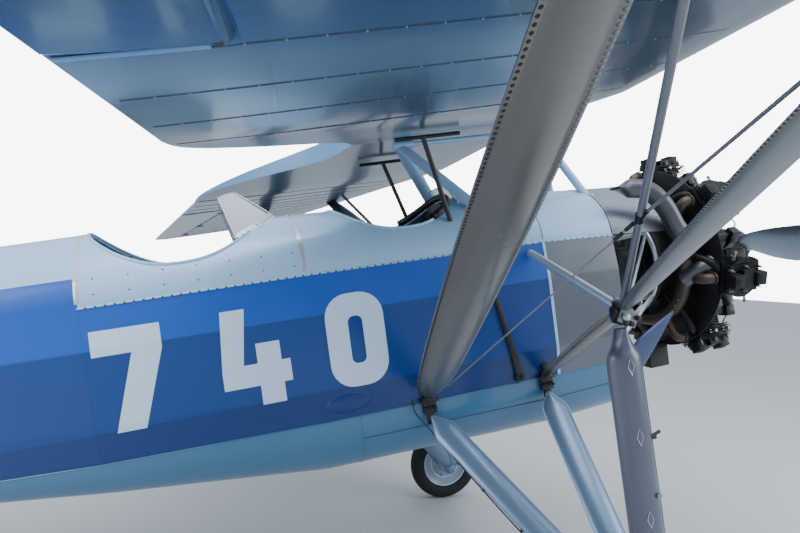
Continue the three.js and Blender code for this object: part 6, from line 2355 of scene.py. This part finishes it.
    def controls(self, plan: CockpitPlan) -> None:
        """Makes the stick, the rudder bar and the throttle.

        Args:
            plan: The cockpit.
        """
        x = plan.seat_x + .50
        floor = station(x).band + WALL
        stick = Surface()
        stick.tube(arc_path([(x, 0, floor), (x - .02, 0, floor + .20), (x - .01, 0, floor + .40), (x - .04, 0, floor + .56)], 6), 0.011, 14)
        stick.lathe([(0, 0), (0, .030), (.012, .034), (.030, .022), (.030, 0)], Vector((x, 0, floor)), Vector((0, 0, 1)), 20)
        bar_x = plan.panel_x + .05
        low = station(bar_x).band + WALL
        stick.tube([Vector((bar_x, -.22, low + .09)), Vector((bar_x, .22, low + .09))], 0.013, 14)
        stick.tube([Vector((bar_x, 0, low)), Vector((bar_x, 0, low + .09))], 0.016, 14)
        wall = station(x + .1).side - WALL
        stick.tube([Vector((x + .1, wall, 1.33)), Vector((x + .1, wall - .05, 1.33)), Vector((x + .06, wall - .05, 1.42))], 0.006, 10)
        self.shop.place(f"control_stick_{plan.name}", stick, self.finishes.bolt_steel)
        grip = Surface().lathe([(0, 0), (0, .015), (.01, .019), (.05, .016), (.09, .019), (.11, .014), (.115, 0)],
                               Vector((x - .038, 0, floor + .55)), Vector((-.12, 0, 1)), 20)
        grip.lathe([(0, 0), (.004, .010), (.014, .014), (.024, .010), (.028, 0)], Vector((x + .06, wall - .05, 1.41)), Vector((-.3, 0, 1)), 16)
        self.shop.place(f"control_grips_{plan.name}", grip, self.finishes.rubber)

    def windscreen(self, plan: CockpitPlan) -> None:
        """Makes the three-pane windscreen with painted glare on its starboard panes, its riveted foot strip and the
        edge frames.

        Args:
            plan: The cockpit.
        """
        x, scale = plan.screen_x, plan.screen_scale
        crown = station(x).deck

        def chain(rows: Sequence[tuple[float, float, float]]) -> list[Vector]:
            port = [Vector((x + u * scale, v * scale, crown + w * scale)) for u, v, w in rows]
            return [*port, *(Vector((p.x, -p.y, p.z)) for p in reversed(port))]

        feet = ((-.172, .282, -.130), (-.070, .205, -.078), (.000, .110, -.030), (.016, .080, -.020))
        heads = ((-.225, .200, .093), (-.200, .150, .108), (-.160, .085, .121), (-.150, .065, .122))
        foot = [self._seated(p) for p in chain(feet)]
        head = chain(heads)
        rings = []
        for t in (0, .25, .5, .75, 1):
            rings.append([a.lerp(b, t) for a, b in zip(foot, head)])
        back = Vector((-.004, 0, -.001))
        shell = Surface()
        shell.loft([[*ring, *(p + back for p in reversed(ring))] for ring in rings])
        pane = self.shop.place(f"windscreen_pane_{plan.name}", shell, self.finishes.clear_sheet, replaces=[f"windscreen_{plan.name}"], sharp=30)
        # The starboard panes take the painted glare sheet.
        pane.data.materials.append(self.finishes.milky_sheet.material())
        for face in pane.data.polygons:
            face.material_index = int(face.center.y < -.1 * scale)
        strip = Surface()
        inner = [p + Vector((.003, 0, .001)) for p in foot]
        above = [a.lerp(b, .16 / max(scale, .7)) + Vector((.003, 0, .001)) for a, b in zip(foot, head)]
        strip.loft([inner, above, [p + Vector((.002, 0, 0)) for p in above], [p + Vector((.002, 0, 0)) for p in inner], inner], closed=False, caps=False)
        self.shop.place(f"windscreen_strip_{plan.name}", strip, self.finishes.bright_tube)
        middle = [(a + b) / 2 + Vector((.003, 0, 0)) for a, b in zip(inner, above)]
        self.shop.along(f"windscreen_rivets_{plan.name}", LineTree.HEADS, [middle], {"Spacing": 0.030, "Head Radius": 0.0030}, self.finishes.seam_dark)
        edges = [head, [foot[0], head[0]], [foot[-1], head[-1]], [foot[3], head[3]], [foot[4], head[4]]]
        self.shop.along(f"windscreen_frames_{plan.name}", LineTree.BEAD, edges, {"Bead Radius": 0.0024}, self.finishes.bright_tube)

    @staticmethod
    def _seated(point: Vector) -> Vector:
        """Drops a point onto the deck under it."""
        return Vector((point.x, point.y, station(point.x).deck_height(point.y) + .001))

    def coaming(self) -> None:
        """Makes the padded roll round the front cockpit's forward edge."""
        line = [p + Vector((0, 0, .012)) for p in FRONT_OPENING.line(-66, 66, 40)]
        roll = Surface().tube(line, 0.018, 16)
        self.shop.place("coaming_roll", roll, self.finishes.padding_black, replaces=["coaming_front"])


# Markings and small fittings


@dataclass(frozen=True)
class Numeral:
    """A painted numeral: its middle along the hull and its outlines, seen from starboard; any second one is a hole."""

    centre: float
    width: float
    outlines: tuple


def round_box(width: float, height: float, middle: float, radius: float) -> list[tuple[float, float]]:
    """Returns a rounded upright box about a centre line at half width.

    Args:
        width: Its width.
        height: Its height.
        middle: Height of its middle.
        radius: Radius of its corners.

    Returns:
        The corners' points, once round.
    """
    u, v = width / 2 - radius, height / 2 - radius
    corners = ((u, v, 0), (-u, v, 90), (-u, -v, 180), (u, -v, 270))
    turns = ((a, b, math.radians(start + 15 * k)) for a, b, start in corners for k in range(7))
    return [(.125 + a + radius * math.cos(t), middle + b + radius * math.sin(t)) for a, b, t in turns]


NUMERALS = (
    Numeral(-1.700, .25, (((0, .395), (.25, .395), (.25, .300), (.155, 0), (.050, 0), (.140, .298), (0, .298)),)),
    Numeral(-1.235, .27, ((
        (.02, .395), (.115, .395), (.085, .17), (.14, .17), (.14, .25), (.235, .25), (.235, .17), (.27, .17), (.27, .08),
        (.235, .08), (.235, 0), (.14, 0), (.14, .08), (0, .08), (0, .15)),)),
    Numeral(-.815, .25, (round_box(.25, .395, .1975, .10), round_box(.062, .20, .1975, .025))),
)


@dataclass
class Markings:
    """Plain white numerals along the hull sides."""

    shop: Workshop
    finishes: Finishes
    foot: float = 1.028
    strip: float = 0.0105

    def build(self) -> None:
        """Paints both sides."""
        for side in Side:
            paint = bmesh.new()
            centres = [numeral.centre for numeral in NUMERALS]
            if side is Side.PORT:
                centres = [centres[0] + centres[-1] - centre for centre in centres]
            for numeral, centre in zip(NUMERALS, centres):
                self._paint(paint, numeral, centre, side)
            bmesh.ops.recalc_face_normals(paint, faces=paint.faces)
            mesh = bpy.data.meshes.new("numerals")
            paint.to_mesh(mesh)
            paint.free()
            self.shop.place(f"side_numerals_{side.word}", mesh, self.finishes.marking_white, sharp=80)

    def _paint(self, paint: bmesh.types.BMesh, numeral: Numeral, centre: float, side: Side) -> None:
        """Lays one numeral on the hull's side, cut into low strips that follow the side's folds.

        Args:
            paint: The mesh that receives it.
            numeral: The numeral.
            centre: Where its middle is along the hull.
            side: Which side of the hull.
        """
        flat = bmesh.new()
        loops = [[Vector((u, v, 0)) for u, v in outline] for outline in numeral.outlines]
        spots = [flat.verts.new(p) for loop in loops for p in loop]
        for corners in tessellate_polygon(loops):
            flat.faces.new([spots[i] for i in corners])
        for k in range(1, 38):
            bmesh.ops.bisect_plane(
                flat, geom=[*flat.verts, *flat.edges, *flat.faces], plane_co=(0, k * self.strip, 0), plane_no=(0, 1, 0))
        mesh = bpy.data.meshes.new("flat_numeral")
        flat.to_mesh(mesh)
        flat.free()
        for vertex in mesh.vertices:
            u, v, _ = vertex.co
            x, z = centre + (numeral.width / 2 - u) * side.value, self.foot + v
            vertex.co = on_side((x, station(x).side_width(z) + .0011, z), side)
        paint.from_mesh(mesh)


@dataclass
class Fittings:
    """The small things that the photograph shows on the struts, hull and legs."""

    shop: Workshop
    finishes: Finishes

    def build(self) -> None:
        """Makes the fittings of both sides and the hull."""
        for side in Side:
            self.strut_feet(side)
            self.side_lever(side)
            self.shock_marks(side)
            self.leg_cable(side)
        self.hull_trim()

    def strut_feet(self, side: Side) -> None:
        """Makes the dark forked fittings where struts and legs meet the hull.

        Args:
            side: Which side.
        """
        forks = Surface()
        for x, z in ((-.536, .880), (.041, .875)):
            width = station(x).side_width(max(z, station(x).band + .002))
            spot = on_side((x, width + .012, z + .004), side)
            forks.block(spot, (.060, .026, .070))
            for shift in (-.020, 0, .020):
                forks.lathe([(0, 0), (0, .010), (.016, .010), (.018, .006), (.026, .006), (.026, 0)],
                            spot + Vector((shift, side.value * .010, -.010)), Vector((0, side.value, 0)), 6)
            for lift in (-.052, .052):
                forks.block(spot + Vector((0, side.value * .004, lift)), (.034, .014, .060))
            forks.tube([spot + Vector((-.045, side.value * .008, .020)), spot + Vector((.045, side.value * .008, .020))], .007, 10)
        self.shop.place(f"strut_foot_forks_{side.word}", forks, self.finishes.trim_black, bevel=0.002)

    def side_lever(self, side: Side) -> None:
        """Makes the black tapered lever on the hull's side.

        Args:
            side: Which side.
        """
        lever = Surface()
        rows = []
        for t in (0, .3, .6, .9, 1):
            x, z = mix(-.175, -.091, t), mix(1.345, .935, t)
            width = station(x).side_width(z) + .002
            half, thick = mix(.009, .018, t), mix(.008, .014, t)
            rows.append([on_side((x + u, width + v, z), side) for u, v in ((-half, 0), (half, 0), (half, thick), (-half, thick))])
        lever.loft(rows)
        foot = on_side((-.089, station(-.089).side_width(.92) + .010, .923), side)
        lever.block(foot, (.046, .020, .028))
        lever.lathe([(0, 0), (0, .009), (.010, .009), (.010, 0)], foot + Vector((.008, side.value * .009, 0)), Vector((0, side.value, 0)), 8)
        self.shop.place(f"side_lever_{side.word}", lever, self.finishes.trim_black, bevel=0.0015)

    def shock_marks(self, side: Side) -> None:
        """Makes the diamond hatches and the small lock handle on the shock leg.

        Args:
            side: Which side.
        """
        apex, axle = on_side((.035, 1.000, 1.262), side), on_side((0, 1.074, 0), side)
        ahead, chordwise, through = frame_along(apex, axle, Vector((1, 0, 0)))
        outward = through if through.y * side.value > 0 else -through
        lines = []
        for place in (.20, .45, .74):
            middle = apex + ahead * place - chordwise * .016 + outward * .0375
            lines.append([middle + ahead * .030, middle + chordwise * .013, middle - ahead * .030, middle - chordwise * .013, middle + ahead * .030])
        self.shop.along(f"shock_diamonds_{side.word}", LineTree.BEAD, lines, {"Bead Radius": 0.0016}, self.finishes.bright_tube)
        handle = Surface()
        root = apex + ahead * .470 + chordwise * .046
        handle.tube([root, root + chordwise * .050 + ahead * -.014], .006, 10)
        handle.lathe([(0, 0), (0, .010), (.020, .010), (.020, 0)], root + chordwise * .008, chordwise, 8)
        self.shop.place(f"shock_handle_{side.word}", handle, self.finishes.engine_grey)
        bolt = Surface()
        bolt.lathe([(-.004, 0), (-.004, .010), (.010, .010), (.010, 0)], apex + ahead * .665 + chordwise * .030 + outward * .032, outward, 12)
        self.shop.place(f"shock_bolt_{side.word}", bolt, self.finishes.bolt_steel)

    def leg_cable(self, side: Side) -> None:
        """Runs the thin brake cable down the rear gear leg with its clips.

        Args:
            side: Which side.
        """
        top, axle = on_side((-.536, .380, .840), side), on_side((0, 1.074, 0), side)
        ahead, chordwise, through = frame_along(top, axle, Vector((1, 0, 0)))
        length = (axle - top).length
        path = [on_side((-.600, .356, .930), side), on_side((-.606, .384, .870), side)]
        path += [top + ahead * mix(.06, length - .12, t) - chordwise * mix(.050, .066, math.sin(math.pi * t)) for t in (0, .2, .4, .6, .8, 1)]
        cable = Surface().tube(arc_path(path, 6), .0032, 8)
        for t in (.16, .30, .5, .7):
            spot = top + ahead * mix(.06, length - .12, t) - chordwise * .062
            cable.lathe([(-.006, 0), (-.006, .0065), (.006, .0065), (.006, 0)], spot, ahead, 8)
        self.shop.place(f"brake_pipe_{side.word}", cable, self.finishes.trim_black)

    def hull_trim(self) -> None:
        """Makes the seams on the belly, the oval blister, the filler cap and the lapped cowl edges."""
        seams = []
        for side in Side:
            spots = places_between(.480, BELLY_SEAM_X, .1)
            line = []
            for x in spots:
                keel = station(x).keel(steps=64)
                line.append(on_side(keel[8] + Vector((0, .001, 0)), side))
            seams.append(line)
        self.shop.along("belly_side_seams", LineTree.BEAD, seams, {"Bead Radius": 0.0026}, self.finishes.seam_dark)
        for side in Side:
            x, z = -.885, .965
            spot = on_side((x, station(x).side_width(z), z), side)
            blister = Surface()
            rings = []
            for k in range(7):
                t = k / 6
                size = math.sqrt(1 - t * t) if t < 1 else .02
                rings.append([spot + Vector((math.cos(a) * .095 * size, side.value * (.012 * t - .001), math.sin(a) * .042 * size))
                              for a in (2 * math.pi * i / 40 for i in range(40))])
            blister.loft(rings)
            self.shop.place(f"side_blister_{side.word}", blister, self.finishes.hull_blue)
        post = Vector((.326, 0, station(.326).belly - .038))
        drain = Surface().lathe([(0, 0), (0, .012), (.030, .014), (.045, .014), (.045, 0)], post, Vector((0, 0, 1)), 16)
        self.shop.place("belly_drain", drain, self.finishes.trim_black)
        cap = Surface()
        base = Vector((.300, -.020, station(.300).deck - .004))
        cap.lathe([(0, 0), (0, .060), (.006, .060), (.008, .046), (.022, .046), (.026, .040), (.028, 0)], base, Vector((0, 0, 1)), 32)
        cap.block(base + Vector((0, 0, .032)), (.070, .012, .012))
        self.shop.place("filler_cap", cap, self.finishes.bolt_steel, bevel=0.0012)
        nose = [Fuselage.nose_point(.503, math.radians(a)) for a in range(3, 178, 3)]
        under = [Fuselage.nose_point(.503, math.radians(a)) for a in range(-177, -2, 3)]
        self.shop.along("cowl_laps", LineTree.BEAD, [nose, under], {"Bead Radius": 0.0028}, self.finishes.seam_dark)
        rows = [[Fuselage.nose_point(x, math.radians(mix(a, b, k / 40)), -.0004) for k in range(41)]
                for x, a, b in ((.530, 4, 176), (.768, 22, 158), (.530, -176, -4))]
        rows += [[on_side(Fuselage.raked_edge(mix(.530, .790, k / 30)), side) for k in range(31)] for side in Side]
        self.shop.along("cowl_rivets", LineTree.HEADS, rows, {"Spacing": 0.030, "Head Radius": 0.0028}, self.finishes.bolt_steel)


# Camera, light and floor


@dataclass(frozen=True)
class Studio:
    """The photograph's viewpoint, a pale floor and soft light."""

    eye: tuple[float, float, float] = (0.499245, -2.863, 1.598)
    yaw: float = math.radians(16.312)
    pitch: float = math.radians(0.431)
    roll: float = math.radians(2.477)
    lens: float = 27.143
    horizon: float = 0.55
    zenith: float = 1.5
    backdrop: float = 8.0

    def build(self) -> None:
        """Makes the camera, the floor, the lights and the sky."""
        self.camera()
        self.floor()
        self.lights()

    def camera(self) -> None:
        """Places the camera by its fitted turn."""
        ahead = Vector((math.sin(self.yaw) * math.cos(self.pitch), math.cos(self.yaw) * math.cos(self.pitch), math.sin(self.pitch)))
        level = Vector((math.cos(self.yaw), -math.sin(self.yaw), 0))
        above = level.cross(ahead)
        right = level * math.cos(self.roll) + above * math.sin(self.roll)
        up = above * math.cos(self.roll) - level * math.sin(self.roll)
        made = bpy.data.objects.new("camera", bpy.data.cameras.new("camera"))
        made.matrix_world = Matrix.Translation(self.eye) @ Matrix((right, up, -ahead)).transposed().to_4x4()
        made.data.lens = self.lens
        made.data.sensor_width = 36
        made.data.clip_end = 200
        bpy.context.scene.collection.objects.link(made)
        bpy.context.scene.camera = made

    def floor(self) -> None:
        """Lays a plain pale floor."""
        mesh = bpy.data.meshes.new("floor")
        half = 60
        mesh.from_pydata([(-half, -half, 0), (half, -half, 0), (half, half, 0), (-half, half, 0)], [], [(0, 1, 2, 3)])
        made = bpy.data.objects.new("floor", mesh)
        bpy.context.scene.collection.objects.link(made)
        pale = Finish("floor_pale", srgb(196, 198, 200), "floor", roughness=0.75, cloud=0.05, cloud_scale=0.6, speck=0.1)
        mesh.materials.append(pale.material())

    def lights(self) -> None:
        """Sets a bright even sky and three large soft lamps."""
        world = bpy.data.worlds.new("sky")
        world.use_nodes = True
        canvas = Canvas(world.node_tree)
        way = canvas.node("ShaderNodeTexCoord").outputs["Generated"]
        up = canvas.node("ShaderNodeSeparateXYZ", {0: way}).outputs["Z"]
        strength = canvas.node("ShaderNodeMapRange", {"Value": up, "To Min": self.horizon, "To Max": self.zenith})
        lit = canvas.node("ShaderNodeBackground", {"Color": srgb(226, 238, 250), "Strength": strength.outputs["Result"]})
        seen = canvas.node("ShaderNodeBackground", {"Color": (1, 1, 1, 1), "Strength": self.backdrop})
        seen_straight = canvas.node("ShaderNodeLightPath").outputs["Is Camera Ray"]
        mixed = canvas.node("ShaderNodeMixShader", {0: seen_straight, 1: lit.outputs[0], 2: seen.outputs[0]})
        canvas.link(mixed.outputs[0], world.node_tree.nodes["World Output"].inputs["Surface"])
        bpy.context.scene.world = world
        for name, place, size, power in (
            ("lamp_over", (1.0, -3.0, 9.0), 7.0, 520), ("lamp_left", (-7.0, -6.0, 5.0), 6.0, 420), ("lamp_right", (8.0, -3.5, 4.0), 5.0, 260),
        ):
            lamp = bpy.data.lights.new(name, "AREA")
            lamp.size = size
            lamp.energy = power
            made = bpy.data.objects.new(name, lamp)
            made.location = place
            aim = Vector((0, 0, 1.2)) - Vector(place)
            made.rotation_euler = aim.to_track_quat("-Z", "Y").to_euler()
            bpy.context.scene.collection.objects.link(made)


def main() -> None:
    """Loads the frame and builds each assembly in turn."""
    logging.basicConfig(level=logging.INFO, format="%(name)s %(message)s")
    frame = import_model()
    datum = Datum.of_frame(frame)
    shop = Workshop(datum)
    finishes = Finishes(datum)
    Studio().build()
    Fuselage(shop, finishes).build()
    Wings(shop, finishes).build()
    Bracing(shop, finishes).build()
    Powerplant(shop, finishes).build()
    Wheels(shop, finishes).build()
    Tail(shop, finishes).build()
    Cockpits(shop, finishes).build()
    Markings(shop, finishes).build()
    Fittings(shop, finishes).build()


if __name__ == "__main__":
    main()
